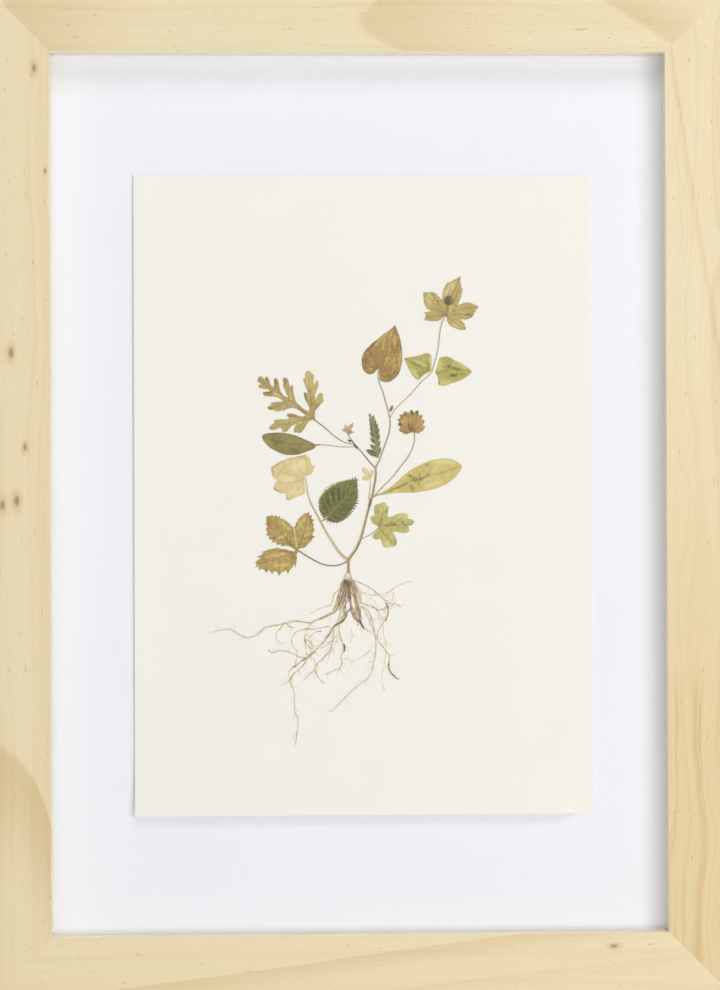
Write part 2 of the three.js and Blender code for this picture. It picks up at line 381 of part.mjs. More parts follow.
// Leaves and flowers drawn as outlines: name, colour, stretches
const LEAVES = [
  ["heart_leaf", 0xa88a52, [
    [[14.1, 95.2], [13.2, 94], [12, 93.2], [10.6, 93], [9.2, 93.6], [8, 94.8], [7.3, 96.5], [7, 98.5],
      [7.2, 100.6], [7.9, 102.8], [9, 104.5], [10.8, 106.3], [12.5, 108], [15, 109.7], [17, 111.6],
      [19.5, 113.2], [21.2, 114.5]],
    [[22.8, 116], [23.3, 114.6], [24.3, 112], [25.2, 109], [25.8, 105.5], [26, 102], [25.9, 99], [25.3, 96],
      [24.3, 93.2], [22.6, 91.2], [20.7, 89.9], [19, 89.4], [17.2, 89.5]],
    [[15.4, 90.2], [15.2, 93]],
    [[15.2, 95.6]],
  ]],
  ["pair_leaf_left", 0xaaa764, [
    [[26.9, 100.6], [29.5, 101], [32, 101.4], [34.5, 102], [36.5, 102.7], [38.2, 102.8], [39.4, 101.7],
      [39.8, 100], [39.6, 97.5]],
    [[39.6, 94.9], [38, 93.8], [36.5, 93], [35.2, 92], [34.2, 90.8], [33.2, 90.4], [32, 91], [30.4, 93],
      [29.3, 95], [28.1, 97.5], [27.2, 99.2]],
  ]],
  ["pair_leaf_right", 0xa9a666, [
    [[41.4, 94], [42.3, 96.5], [43, 99.6], [44, 100.8], [45.5, 101.2], [48, 101], [50.5, 99.6], [53, 98.5],
      [55, 97.2], [57, 95.8]],
    [[58.5, 94.3], [57.6, 92.9], [55.8, 91.6], [53.4, 90.3], [51, 89.3], [49, 88.7], [47.3, 88], [45, 87.6],
      [43.4, 87.9]],
    [[42.7, 88.6], [42.8, 90.5], [42.3, 92.4]],
  ]],
  ["top_flower", 0xb5a668, [
    [[46, 120.2], [45, 119.6], [44, 118.6], [42.8, 117.9], [40.5, 117.7], [38.5, 118]],
    [[36.4, 118.2], [36.9, 119.8], [36.9, 120.8]],
    [[36.2, 121.9], [38, 122.2]],
    [[39.4, 122.7], [38, 123.4], [37, 124.7], [36.3, 126.5], [36, 129]],
    [[35.8, 131.3], [38, 131.3], [40.2, 131.4], [41.8, 130.6], [43, 129.5]],
    [[44.9, 128], [44.8, 130], [45.3, 132.5], [46.2, 134.4], [47, 135.6], [48.5, 136.2], [50.5, 137.2],
      [52, 138]],
    [[53.6, 138.6], [53.2, 137.2], [53.6, 135], [53.9, 133.2]],
    [[54.3, 132.8], [54.1, 131.2], [53.6, 129.2], [52.8, 127]],
    [[52.2, 125.4], [53.5, 125.8], [55, 126.4], [57, 126.5], [59.5, 125.7]],
    [[61.8, 124.5], [60.5, 122.6], [59.6, 121.2]],
    [[59.2, 120], [58, 119.3], [56.2, 118.6], [54, 118.6]],
    [[53, 118.5], [54, 117.8], [55, 116.8], [55.6, 115.2]],
    [[55.9, 113.9], [54, 113.6], [52, 114], [50.5, 114.7], [49, 115.3], [47.7, 116.6], [47, 118]],
    [[46.7, 119.6]],
  ]],
  ["divided_leaf", 0xad9b64, [
    [[-14.6, 71.9], [-14.8, 74], [-14.6, 76], [-13.6, 77.3], [-12.2, 79], [-10.8, 80.6]],
    [[-11.1, 82], [-11, 83.8], [-11.8, 84.4], [-12.8, 84.2], [-13.8, 82.6]],
    [[-14.8, 80.6], [-14.7, 83.5], [-13.8, 86], [-13.1, 88.5], [-13.3, 90.2], [-14.2, 90], [-15, 88.5]],
    [[-15.4, 87.8], [-15.5, 90], [-15.2, 92], [-15.7, 93.2], [-16.3, 93.4], [-17, 94.4], [-18, 94.7],
      [-19, 94.2], [-19.4, 92.8]],
    [[-19.3, 91.4], [-20.4, 91], [-20, 89.8], [-19, 87]],
    [[-18, 84.2], [-19.2, 84.6], [-19.9, 84.7], [-20, 83], [-19.3, 81.2], [-18.2, 79.2], [-17.5, 77.5]],
    [[-17.5, 75.9], [-20, 77], [-22, 78.8], [-23.4, 80.2], [-24.3, 82.5], [-24.8, 85], [-25.1, 87.6],
      [-25.6, 88.2]],
    [[-26.4, 86.8], [-26.8, 88.5], [-27.2, 90.5], [-28.4, 91.5], [-29.4, 91.5], [-29.8, 90.4]],
    [[-29.3, 89], [-29.7, 88], [-29, 86.3], [-28.2, 84.2]],
    [[-27.3, 82.3], [-28.4, 82.7], [-29.6, 83.6], [-30.8, 85.2], [-31.2, 87], [-31.7, 89.6], [-32.5, 91.1],
      [-33.4, 91.4], [-34, 90.4], [-33.8, 88.5]],
    [[-34.4, 87.1], [-35.4, 88.5], [-36, 90.3], [-36.7, 91.7], [-37.6, 92.1]],
    [[-38.3, 90.4], [-39, 91.6], [-39.8, 92.2], [-41.1, 92]],
    [[-41.3, 90.9], [-41.8, 90.3], [-41, 89.4]],
    [[-39.7, 88.6], [-41.2, 88], [-40.6, 86.9], [-38.5, 86.3], [-36.8, 86.2]],
    [[-35.8, 85.2], [-37.5, 85.1], [-38.6, 85], [-39.1, 84.2], [-38.3, 83.2], [-36, 82.8], [-33.5, 82.7],
      [-31, 81.8]],
    [[-29.6, 80.6], [-31, 80.3], [-33.5, 80.2], [-35.5, 79.7]],
    [[-35.2, 78.8], [-36.2, 78.4], [-37.1, 77.5], [-36.3, 76.7], [-34.6, 76.5]],
    [[-33.9, 76.8], [-33.2, 75.9], [-31.5, 75.9], [-29.5, 76.2], [-27.5, 77.1], [-25.5, 77.4], [-23.5, 77],
      [-21.5, 75.8]],
    [[-19.1, 73.9], [-20.5, 73.5], [-22.5, 73.8], [-24.2, 74.5], [-26.2, 74.9], [-27.6, 74.6], [-28.1, 74]],
    [[-26.8, 72.5], [-28.5, 72.1], [-31, 72.2], [-33, 72], [-34, 71.4]],
    [[-33.4, 70.7], [-34.8, 69.8], [-36, 68.6], [-36.3, 67.8], [-35.4, 67.3], [-33.5, 67.3], [-31.8, 68]],
    [[-30.5, 68.1], [-30.2, 67.2], [-30.3, 66.5]],
    [[-28.2, 66.3], [-26.8, 67.8], [-25.4, 69.2]],
    [[-23.3, 70], [-24.4, 68.6], [-24.8, 66.8]],
    [[-24.3, 65.9], [-23, 66], [-22, 65.6], [-20.8, 66.4], [-19.5, 68.2], [-18.4, 70.2], [-17.2, 71.4]],
  ]],
  ["oval_leaf", 0x87804a, [
    [[-14.4, 60.1], [-14.6, 59.1], [-16, 58.1], [-18.5, 57.2], [-20.5, 56.4], [-23, 55.7], [-26, 55.5],
      [-28.5, 55.7], [-31, 56.4], [-33.5, 57.6], [-35.5, 58.7], [-37.5, 60.6], [-39, 62.4]],
    [[-39.6, 64.3], [-38.8, 65.1], [-36.5, 65.7], [-34.5, 65.9], [-32.5, 66], [-30, 65.9], [-27, 65.4],
      [-24, 64.6], [-21.5, 63.6], [-19, 62.5], [-17, 61.6], [-15.6, 60.9]],
  ]],
  ["ivy_leaf", 0xdac692, [
    [[-19.9, 44], [-20, 45.2]],
    [[-19.6, 45.9], [-18, 46], [-16.5, 46.8], [-15.6, 48.5]],
    [[-15.2, 50.6]],
    [[-16.7, 50.9], [-16.8, 52.6], [-17.6, 54.2], [-18.7, 55.3]],
    [[-19.4, 56], [-20.5, 55.4], [-22.5, 55.1], [-24, 54.5], [-26.5, 54.2]],
    [[-28.3, 53.5], [-30.5, 52.7], [-32.5, 51.7], [-34, 50.7]],
    [[-35.2, 49.9], [-35.3, 48.5], [-34.9, 46.8], [-34.2, 44.9], [-33.3, 44]],
    [[-32.2, 43.7], [-33.3, 42.8], [-34.1, 41.2]],
    [[-34.3, 39.5], [-33, 38.7], [-31.2, 37.9], [-29.6, 37.6]],
    [[-28.7, 37.9], [-28.6, 36.5], [-28.1, 35]],
    [[-27.4, 34.3], [-26, 34.8], [-24.5, 35.4], [-22.5, 36.4], [-21, 36.8], [-20, 37.5], [-19.5, 38.8],
      [-19.7, 41], [-20, 42.6]],
  ]],
  ["small_leaf", 0xdccf9b, [
    [[10.6, 44.4], [9.8, 43.6], [8.5, 43.6]],
    [[7, 43.8], [7.2, 45]],
    [[8, 46], [7.5, 47.2], [7.1, 48.5]],
    [[7.3, 49.4], [8.5, 49.3], [9.7, 48.5]],
    [[10.2, 47.7], [11.3, 48.2]],
    [[12.2, 48], [12.1, 46.4], [11.5, 45.2]],
  ]],
  ["spoon_leaf", 0xcabd75, [
    [[13.3, 36.2], [14.8, 36.6], [17.3, 36.9], [20.9, 37.4], [24.5, 37.7], [28.2, 37.7], [32.1, 37.8],
      [35.4, 38.4], [39, 39], [41.9, 39.8], [44.8, 40.9], [47.3, 42.3], [49.8, 44.2], [51.6, 46.1],
      [53.2, 48.3], [53.7, 49.7], [53, 50.9], [51.2, 52.3], [49.1, 53.2], [46.2, 53.7], [43, 53.6],
      [40.1, 53.1], [37.5, 52.3], [35, 51.1], [31.8, 49.6], [29.5, 48.2], [27.4, 46.7], [25.3, 44.9],
      [23.1, 42.9], [20.8, 40.9], [18.2, 39], [15.6, 37.6]],
  ]],
  ["oak_leaf", 0xb5b06b, [
    [[14.6, 22], [13, 22.8], [11.8, 23.6], [11.1, 25], [10.9, 26.3], [11.6, 27]],
    [[12.8, 27.2], [12.6, 28.6], [12.4, 30.2], [12.8, 31.7], [13.8, 32.5], [15.2, 32.7], [16.6, 33.4],
      [17.8, 33], [18.4, 32], [19.2, 31.2], [19.3, 30], [19, 28.3]],
    [[19, 26.5], [20.4, 26.6], [22, 27.3], [23.6, 28], [25.5, 28.2], [27.3, 28.1], [28.2, 27.4]],
    [[28.4, 25.6], [29.8, 25.4], [30.9, 24.9], [31.3, 24], [30.6, 22.9], [29.4, 22.4]],
    [[28.5, 22.1], [28.8, 21], [28.9, 20], [28.2, 19.2], [26.5, 18.9], [24, 19.3], [22.6, 19.6]],
    [[21.4, 19.4], [22, 18], [22.9, 16.5], [23.2, 15], [22.9, 13.4], [21.8, 12.7], [20.2, 12.6],
    [18.6, 12.2],
      [17.2, 12.6], [16.2, 13.8], [15.8, 15.4]],
    [[15.3, 16.4], [13.8, 15.9], [12.4, 16.4], [11.8, 17.6], [12.5, 18.7], [13.6, 19.6], [14.5, 20.6]],
  ]],
  ["star_leaf", 0xb59873, [
    [[0.8, 64.6], [-0.3, 65.8]],
    [[-2.2, 66.9], [-1.4, 67.9]],
    [[-0.8, 69.8], [-0.1, 68.7], [1.3, 69.4]],
    [[2.9, 70.5], [2.7, 68.6], [1.9, 67.3]],
    [[3.1, 65.9], [1.8, 65.4]],
  ]],
  ["upper_bud", 0x6f5538, [
    [[20.2, 75.4], [19.9, 76.4], [20.4, 77.7], [21.2, 78.6]],
    [[21.9, 78.1], [21.6, 76.9], [20.9, 75.9]],
  ]],
  ["twig_bud", 0x55463a, [
    [[0.2, 62.6], [1.1, 62.6], [1.7, 62.3]],
    [[1.9, 61.6], [1.1, 61.6]],
  ]],
];

// Bramble leaf: its edges from base to tip
const BRAMBLE_BASE = [-10.4, 25.3];
const BRAMBLE_TIP = [4.6, 44.6];
const BRAMBLE_LEFT = [
  [-10.7, 25.9], [-11.3, 26.7], [-12.1, 27.8], [-12.7, 29.2], [-13.1, 30.6], [-13.3, 32.8],
  [-13.2, 34.2], [-12.5, 35.9], [-11.4, 37.6], [-9.8, 39.2], [-8.2, 40.7], [-6.5, 41.7],
  [-4.5, 42.5], [-2.7, 43.2], [-0.4, 43.7], [1.9, 44.2], [4.1, 44.5],
];
const BRAMBLE_RIGHT = [
  [-9.8, 24.9], [-8.9, 24.5], [-7.8, 24.2], [-6.6, 24], [-5.4, 23.9], [-4.1, 24], [-2.9, 24.5],
  [-0.9, 25.5],
  [0.5, 26.8], [1.7, 28.3], [3, 30.2], [4, 31.8], [4.7, 33.8], [5, 36], [5, 38.5], [4.9, 41], [4.8, 43.6],
];
const BRAMBLE_TEETH = 20;
const BRAMBLE_BITE = 0.45;

// Strawberry leaf: three toothed leaflets on one junction
const STRAWBERRY_OUTLINE = [
  [-23.6, 13], [-24, 16.2], [-24.5, 19.4], [-25.3, 22], [-26.3, 22.8], [-26.9, 23.9], [-27.5, 23.9],
  [-28.1, 24.9], [-28.9, 24.9], [-29.5, 25.6], [-30.9, 26], [-31.6, 26.9], [-32.4, 26.8], [-33, 27.4],
  [-34, 27], [-35.1, 27.5], [-36.1, 27.1], [-37.2, 27], [-37.7, 26.2], [-37.3, 25.6], [-38, 25.2],
  [-37.5, 24.4], [-38, 23.6], [-37.3, 22.1], [-37.8, 20.9], [-37.2, 19.5], [-37.6, 18.5], [-36.6, 17.6],
  [-36.2, 16.4], [-35.1, 16.1], [-34.6, 14.9], [-33.3, 14.8], [-32.6, 13.8], [-31.2, 13.8], [-30.4, 13.1],
  [-28.6, 13.2], [-27, 12.9], [-25.6, 12.2], [-24.2, 11.1],
  [-25.1, 10.7], [-27, 11.1], [-28.9, 11.7], [-30.5, 11.8], [-32.6, 12.3], [-34.1, 12], [-36.1, 11.6],
  [-38.1, 11], [-39.7, 10.3], [-39.3, 9.7], [-40.3, 9], [-41.8, 8.2], [-40.4, 7.5], [-41.8, 6.6],
  [-42.7, 5.4], [-42.2, 4.6], [-42.9, 3.6], [-41.4, 3.4], [-41.1, 2.3], [-39.8, 2.4], [-38.7, 2],
  [-37.9, 1],
  [-36.8, 1.8], [-36, 1.4], [-35.1, 0.4], [-34, 1.2], [-32.9, 1.1], [-31.9, -0.5], [-30.9, 0.6],
  [-29.4, 1.3],
  [-28.5, 1.7], [-27.6, 0.2], [-26.9, 1.5], [-26.2, 2.5], [-25.5, 3.4], [-24.9, 4.5], [-24, 3.2],
  [-23.8, 5],
  [-23.5, 7], [-23.5, 9.3],
  [-22.6, 10.8], [-22.5, 11.6], [-21.9, 12], [-20.4, 12.2], [-18.9, 13.1], [-17.9, 14.3], [-16.9, 15.2],
  [-16.2, 16.4], [-15.2, 17.4], [-16.1, 18.1], [-15.7, 19.7], [-15.2, 20.9], [-15.8, 21.8], [-15.5, 23],
  [-16, 24], [-15.6, 25.1], [-16.6, 26.1], [-16.6, 27.5], [-17.4, 27.2], [-17.7, 28.1], [-18.2, 28.9],
  [-18.9, 28.2], [-19.8, 28.3], [-20.7, 27.4], [-21.5, 27.2], [-22.1, 26.1], [-22.7, 25.9], [-23.2, 24.6],
  [-23.7, 24.3], [-24.1, 22.9], [-24.7, 21.9], [-24.3, 19.4], [-23.8, 16.2], [-23.4, 13],
];

// Fern tip: the rachis, then the pinnae as [foot on the rachis, tip, width], left ones first
const FERN_RACHIS = [[14.1, 54.2], [13.9, 58], [13.4, 62], [12.8, 66], [12, 70], [11.2, 73], [10.6, 74.4]];
const FERN_PINNAE = [
  [[14.2, 55.4], [8.9, 57.7], 2.8],
  [[13.9, 57.9], [10.9, 60.2], 1.9],
  [[13.6, 60.8], [11, 63.3], 1.8],
  [[13.3, 63.4], [10.8, 66], 1.8],
  [[13, 65.8], [10.8, 68.3], 1.8],
  [[12.6, 68], [10.7, 70.3], 1.7],
  [[12.2, 70], [10.5, 72.3], 1.5],
  [[14, 55.2], [15.7, 59.1], 1.9],
  [[13.9, 58.4], [15.5, 62], 1.6],
  [[13.6, 61.2], [15.3, 65.2], 1.6],
  [[13.3, 64], [15, 67.9], 1.6],
  [[12.9, 66.6], [14.3, 70], 1.6],
  [[12.5, 68.8], [13.5, 71.9], 1.5],
  [[12, 71], [12.5, 74], 1.3],
];

// A pinna is a pointed oval from its foot to its tip
function pinna([foot, tip, width]) {
  const along = new THREE.Vector2(tip[0] - foot[0], tip[1] - foot[1]);
  const across = new THREE.Vector2(-along.y, along.x).normalize().multiplyScalar(width / 2);
  const at = (t, side) => [foot[0] + along.x * t + across.x * side, foot[1] + along.y * t + across.y * side];
  return [at(0, 0.8), at(0, -0.8), at(0.45, -1), at(0.8, -0.6), at(1, 0), at(0.8, 0.6), at(0.45, 1)];
}

// Clover head: floret tips and the notches between them, open below where the stalk comes in
const CLOVER_OUTLINE = [
  [31.1, 66], [31.9, 65.7], [33.2, 65.5], [34.2, 65.3], [33.9, 65.9], [34.7, 66.2], [35.6, 66.8],
  [36.1, 67.6],
  [36.5, 68.6], [35.7, 69.1], [35.6, 69.7], [36.1, 70.5], [36.2, 71.3], [36, 71.8], [35.1, 71.9],
  [35, 72.7],
  [35.4, 73.4], [35.2, 74.1], [34.5, 73.9], [33.6, 74.1], [33.4, 74.7], [33.6, 75.6], [32.9, 76.1],
  [32.2, 75.8], [31.6, 75.1], [31.1, 75.3], [30.8, 76], [30.3, 76.4], [29.7, 76], [29.3, 75.3],
  [28.7, 75.2],
  [28, 75.4], [27.3, 75.8], [26.7, 75.3], [26.4, 74.6], [25.9, 74.1], [25.1, 74.3], [24.7, 73.8],
  [25.1, 73],
  [24.9, 72.4], [23.9, 72.2], [23.7, 71.6], [24.3, 71.1], [24.4, 70.4], [23.9, 69.8], [24.1, 69.1],
  [24.9, 68.6], [24.8, 67.9], [24.4, 67.4], [24.3, 66.8], [25.1, 66.2], [25.9, 66], [26.2, 65.4],
  [27.2, 65.1], [28.2, 65.1], [29, 65.6], [30, 65.8], [30.6, 66],
];

const SEED_CENTRE = [48, 127.5];
const SEED_RADII = [2.3, 2.2];
const SEED_THICK = 0.5;

function addPlant() {
  addNode("root_crown", onSheet(outlineOf(CROWN_OUTLINE), CROWN_THICK), ROOT);
  for (const [name, route, start, end, layer] of ROOTS) {
    addNode(name, onSheet(strand(route, start, end), ROOT_THICK, layer), ROOT);
  }
  for (const [name, route, start, end, thick, look] of STEMS) {
    addNode(name, onSheet(strand(route, start, end), thick), look);
  }
  for (const [name, color, stretches] of LEAVES) {
    addNode(name, onSheet(outlineOf(stretches), LEAF_THICK), material(color, 0.85));
  }
  const bramble = [
    BRAMBLE_BASE,
    ...toothedEdge(BRAMBLE_LEFT, 1, BRAMBLE_TEETH, BRAMBLE_BITE),
    BRAMBLE_TIP,
    ...toothedEdge(BRAMBLE_RIGHT, -1, BRAMBLE_TEETH, BRAMBLE_BITE).reverse(),
  ];
  addNode("bramble_leaf", onSheet(bramble, LEAF_THICK), material(0x6f6f42, 0.85));
  addNode("strawberry_leaf", onSheet(STRAWBERRY_OUTLINE, LEAF_THICK), material(0xb09858, 0.85));
  const frond = FERN_PINNAE.map((one) => onSheet(pinna(one), LEAF_THICK));
  const rachis = onSheet(strand(FERN_RACHIS, 1.5, 1.1), LEAF_THICK);
  addNode("fern_leaf", join([rachis, ...frond]), material(0x7d7f52, 0.85));
  addNode("clover_head", onSheet(CLOVER_OUTLINE, TWIG_THICK), material(0xab8a50, 0.9));
  const seed = new THREE.EllipseCurve(...SEED_CENTRE, ...SEED_RADII).getPoints(18).slice(0, -1);
  const disc = seed.map(({ x, y }) => [x, y]);
  addNode("seed_disc", onSheet(disc, SEED_THICK, LEAF_THICK), material(0x6d6149, 0.9));
}

addRails();
addBoards();
addSpacers();
addTabs();
addHanger();
addPlant();

export default part;
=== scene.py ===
# Pressed flower frame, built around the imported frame, in metres: the glass faces -Y, X runs to the
# right and Z up, with the origin on the wall under the hanger.
import math
import random

import bpy
import numpy as np
from mathutils import Matrix, Vector, geometry, noise


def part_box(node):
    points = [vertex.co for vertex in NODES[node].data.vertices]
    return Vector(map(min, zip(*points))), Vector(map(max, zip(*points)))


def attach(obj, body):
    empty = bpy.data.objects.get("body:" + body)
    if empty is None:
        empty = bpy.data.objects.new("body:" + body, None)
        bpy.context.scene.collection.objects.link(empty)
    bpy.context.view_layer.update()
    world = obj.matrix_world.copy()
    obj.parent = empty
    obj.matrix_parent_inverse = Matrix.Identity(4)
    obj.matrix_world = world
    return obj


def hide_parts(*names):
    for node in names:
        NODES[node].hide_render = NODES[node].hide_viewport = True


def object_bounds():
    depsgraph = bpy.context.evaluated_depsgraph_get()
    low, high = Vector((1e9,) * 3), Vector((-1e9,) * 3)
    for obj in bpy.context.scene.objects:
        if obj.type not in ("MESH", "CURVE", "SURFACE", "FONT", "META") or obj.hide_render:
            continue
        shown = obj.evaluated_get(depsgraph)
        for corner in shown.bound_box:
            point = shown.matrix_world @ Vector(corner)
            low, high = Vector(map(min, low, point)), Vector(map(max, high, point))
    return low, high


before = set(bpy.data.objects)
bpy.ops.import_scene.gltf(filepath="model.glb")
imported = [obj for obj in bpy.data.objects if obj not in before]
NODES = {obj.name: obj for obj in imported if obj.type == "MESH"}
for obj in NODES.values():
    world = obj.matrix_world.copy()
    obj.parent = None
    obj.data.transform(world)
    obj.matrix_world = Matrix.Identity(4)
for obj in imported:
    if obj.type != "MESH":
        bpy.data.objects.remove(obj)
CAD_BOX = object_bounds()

MM = 0.001

# The camera that took the photograph: its place in millimetres, its angles in degrees, its lens
CAMERA_PLACE = (-40.9, -1325.0, -202.6)
CAMERA_YAW = 1.804
CAMERA_PITCH = 0.632
CAMERA_ROLL = -0.226
CAMERA_LENS = 102.43
CAMERA_CLIP_END = 50

# The plant's points are in millimetres from the root crown, and it lies on the sheet's front face
CROWN = (-5.6, -224.9)
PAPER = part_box("sheet")[0].y / MM


def add_object(name, data):
    made = bpy.data.objects.new(name, data)
    bpy.context.scene.collection.objects.link(made)
    return made


def add_camera():
    yaw, pitch, roll = (math.radians(a) for a in (CAMERA_YAW, CAMERA_PITCH, CAMERA_ROLL))
    ahead = Vector((math.sin(yaw) * math.cos(pitch), math.cos(yaw) * math.cos(pitch), math.sin(pitch)))
    level = ahead.cross(Vector((0, 0, 1))).normalized()
    upright = level.cross(ahead)
    right = level * math.cos(roll) + upright * math.sin(roll)
    up = upright * math.cos(roll) - level * math.sin(roll)
    camera = add_object("camera", bpy.data.cameras.new("camera"))
    camera.data.lens = CAMERA_LENS
    camera.data.clip_end = CAMERA_CLIP_END
    turn = Matrix((right, up, -ahead)).transposed().to_4x4()
    camera.matrix_world = Matrix.Translation(Vector(CAMERA_PLACE) * MM) @ turn
    bpy.context.scene.camera = camera


# Soft studio light: a wide one in front, one from the right, one above, and one behind the back.
# Each has its place and size in metres and its power in watts, and whether the glass mirrors it.
LIGHTS = [
    ("front_light", (0.1, -3.2, -0.7), (2.0, 0.8), 28.5, False),
    ("key_light", (1.6, -2.75, -0.1), (1.3, 1.0), 31.5, True),
    ("top_light", (0.1, -1.8, 1.8), (1.4, 1.1), 19.5, True),
    ("back_light", (0.8, 3.0, 1.2), (2.0, 2.0), 90, True),
]
WORLD_STRENGTH = 0.16


def add_lights():
    middle = (Vector(CAD_BOX[0]) + Vector(CAD_BOX[1])) / 2
    for name, place, size, power, mirrored in LIGHTS:
        light = add_object(name, bpy.data.lights.new(name, "AREA"))
        light.data.shape = "RECTANGLE"
        light.data.size, light.data.size_y = size
        light.data.energy = power
        light.visible_glossy = mirrored
        light.visible_transmission = mirrored
        light.location = place
        light.rotation_euler = (middle - Vector(place)).to_track_quat("-Z", "Y").to_euler()
    world = bpy.data.worlds.new("studio")
    world.use_nodes = True
    background = world.node_tree.nodes["Background"]
    background.inputs["Color"].default_value = (1, 1, 1, 1)
    background.inputs["Strength"].default_value = WORLD_STRENGTH
    bpy.context.scene.world = world
    bpy.context.scene.view_settings.view_transform = "Standard"


def tone(value, light=(1.0, 1.0, 1.0)):
    """A colour given as it looks, such as 0xeedfba, in the linear values that a shader takes, with
    each channel first made `light` times brighter."""
    linear = []
    for channel, gain in zip((value >> 16, value >> 8 & 255, value & 255), light):
        share = channel * gain / 255
        linear.append(share / 12.92 if share <= 0.04045 else ((share + 0.055) / 1.055) ** 2.4)
    return (*linear, 1)


class Graph:
    """A node material, built one value at a time around its shader."""

    def __init__(self, name, roughness):
        self.material = bpy.data.materials.new(name)
        self.material.use_nodes = True
        self.tree = self.material.node_tree
        self.shader = self.tree.nodes["Principled BSDF"]
        self.shader.inputs["Roughness"].default_value = roughness

    def add(self, kind, values, output=0, **settings):
        node = self.tree.nodes.new("ShaderNode" + kind)
        for key, value in settings.items():
            setattr(node, key, value)
        for key, value in values.items():
            if isinstance(value, bpy.types.NodeSocket):
                self.tree.links.new(value, node.inputs[key])
            else:
                node.inputs[key].default_value = value
        return node.outputs[output]

    def math(self, operation, *values):
        return self.add("Math", dict(enumerate(values)), operation=operation)

    def plus(self, first, second):
        return self.math("ADD", first, second)

    def minus(self, first, second):
        return self.math("SUBTRACT", first, second)

    def times(self, first, second):
        return self.math("MULTIPLY", first, second)

    def blend(self, value, factor, start):
        """value times factor, plus start."""
        return self.math("MULTIPLY_ADD", value, factor, start)

    def vector(self, *parts):
        return self.add("CombineXYZ", dict(enumerate(parts)))

    def scaled(self, vector, factors):
        return self.add("VectorMath", {0: vector, 1: factors}, operation="MULTIPLY")

    def place(self, scale=(1, 1, 1)):
        """Where a point is, in millimetres times the scale given for each axis."""
        return self.scaled(self.add("TexCoord", {}, output=3), tuple(s / MM for s in scale))

    def split(self, vector):
        return [self.add("SeparateXYZ", {0: vector}, output=i) for i in range(3)]

    def noise(self, place, scale=1.0, detail=3.0, roughness=0.5):
        values = {"Vector": place, "Scale": scale, "Detail": detail, "Roughness": roughness}
        return self.add("TexNoise", values)

    def step(self, value, low, high, start=0.0, end=1.0):
        values = {"Value": value, "From Min": low, "From Max": high, "To Min": start, "To Max": end}
        return self.add("MapRange", values, interpolation_type="SMOOTHSTEP")

    def mix(self, share, first, second):
        return self.add("Mix", {0: share, 6: first, 7: second}, output=2, data_type="RGBA")

    def attribute(self, name):
        return self.add("Attribute", {}, output=2, attribute_name=name)

    def colour(self, value):
        self.tree.links.new(value, self.shader.inputs["Base Color"])

    def bump(self, height, distance, strength=1.0):
        normal = self.add("Bump", {"Height": height, "Distance": distance, "Strength": strength})
        self.tree.links.new(normal, self.shader.inputs["Normal"])


# Pine: pale wood with fine straight fibres, broad growth rings that end in a soft edge, small
# knots with an orange ring, and short dark resin flecks, all in millimetres on the rail's face
PINE_PALE = 0xeedfba
PINE_DEEP = 0xdcc494
PINE_WARM = 0xd4b072
PINE_GOLDEN = 0xe6d1a2
KNOT_RING = 0xceac78
KNOT_HEART = 0x92704e
FLECK = 0xb69466

# The sides that face the opening get a near-white colour, which is a painted reflection of the white mount
# board and painted light on them, and a lower roughness. How far a point lies along the way that its side
# faces, from the middle of the opening, tells them from the others, in millimetres.
PINE_PAINTED_SHEEN = 0xfff7e4
PAINTED_SHEEN_SHARE = 0.95
INNER_SIDE_RANGE = (-60.0, -20.0)
MIDDLE_HEIGHT = -187.0


def growth_ring(g, along, across, drift, ring_across, ring_along, lean, bow, fade, strength):
    """How much darker the wood is past a line that leans and bows across the grain, through the
    point (ring_across, ring_along), fading out within `fade` millimetres."""
    off = g.minus(across, ring_across)
    edge = g.blend(off, lean, ring_along)
    edge = g.blend(g.times(off, off), bow, edge)
    edge = g.blend(g.minus(drift, 0.5), 10.0, edge)
    past = g.times(g.minus(along, edge), math.copysign(1.0, fade))
    rise = g.step(past, -1.5, 4.0)
    fall = g.step(past, 2.0, abs(fade), 1.0, 0.0)
    return g.times(g.times(rise, fall), strength)


def with_knot(g, base, along, across, fibre, knot_across, knot_along, radius):
    """The wood's colour with a knot on it, twice as long along the grain as across it."""
    off_along = g.times(g.minus(along, knot_along), 0.5)
    off_across = g.minus(across, knot_across)
    gap = g.math("SQRT", g.plus(g.times(off_along, off_along), g.times(off_across, off_across)))
    gap = g.blend(fibre, radius * 1.4, g.minus(gap, radius * 0.7))
    base = g.mix(g.step(gap, radius * 0.6, radius * 3.0, 0.5, 0.0), base, tone(KNOT_RING))
    return g.mix(g.step(gap, radius * 0.4, radius * 1.2, 0.65, 0.0), base, tone(KNOT_HEART))


def outward(g, x, z):
    """Below zero where a side faces the frame's middle, and above where it faces away from it."""
    normal = g.split(g.add("TexCoord", {}, output=1))
    return g.blend(normal[2], g.plus(z, -MIDDLE_HEIGHT), g.times(normal[0], x))


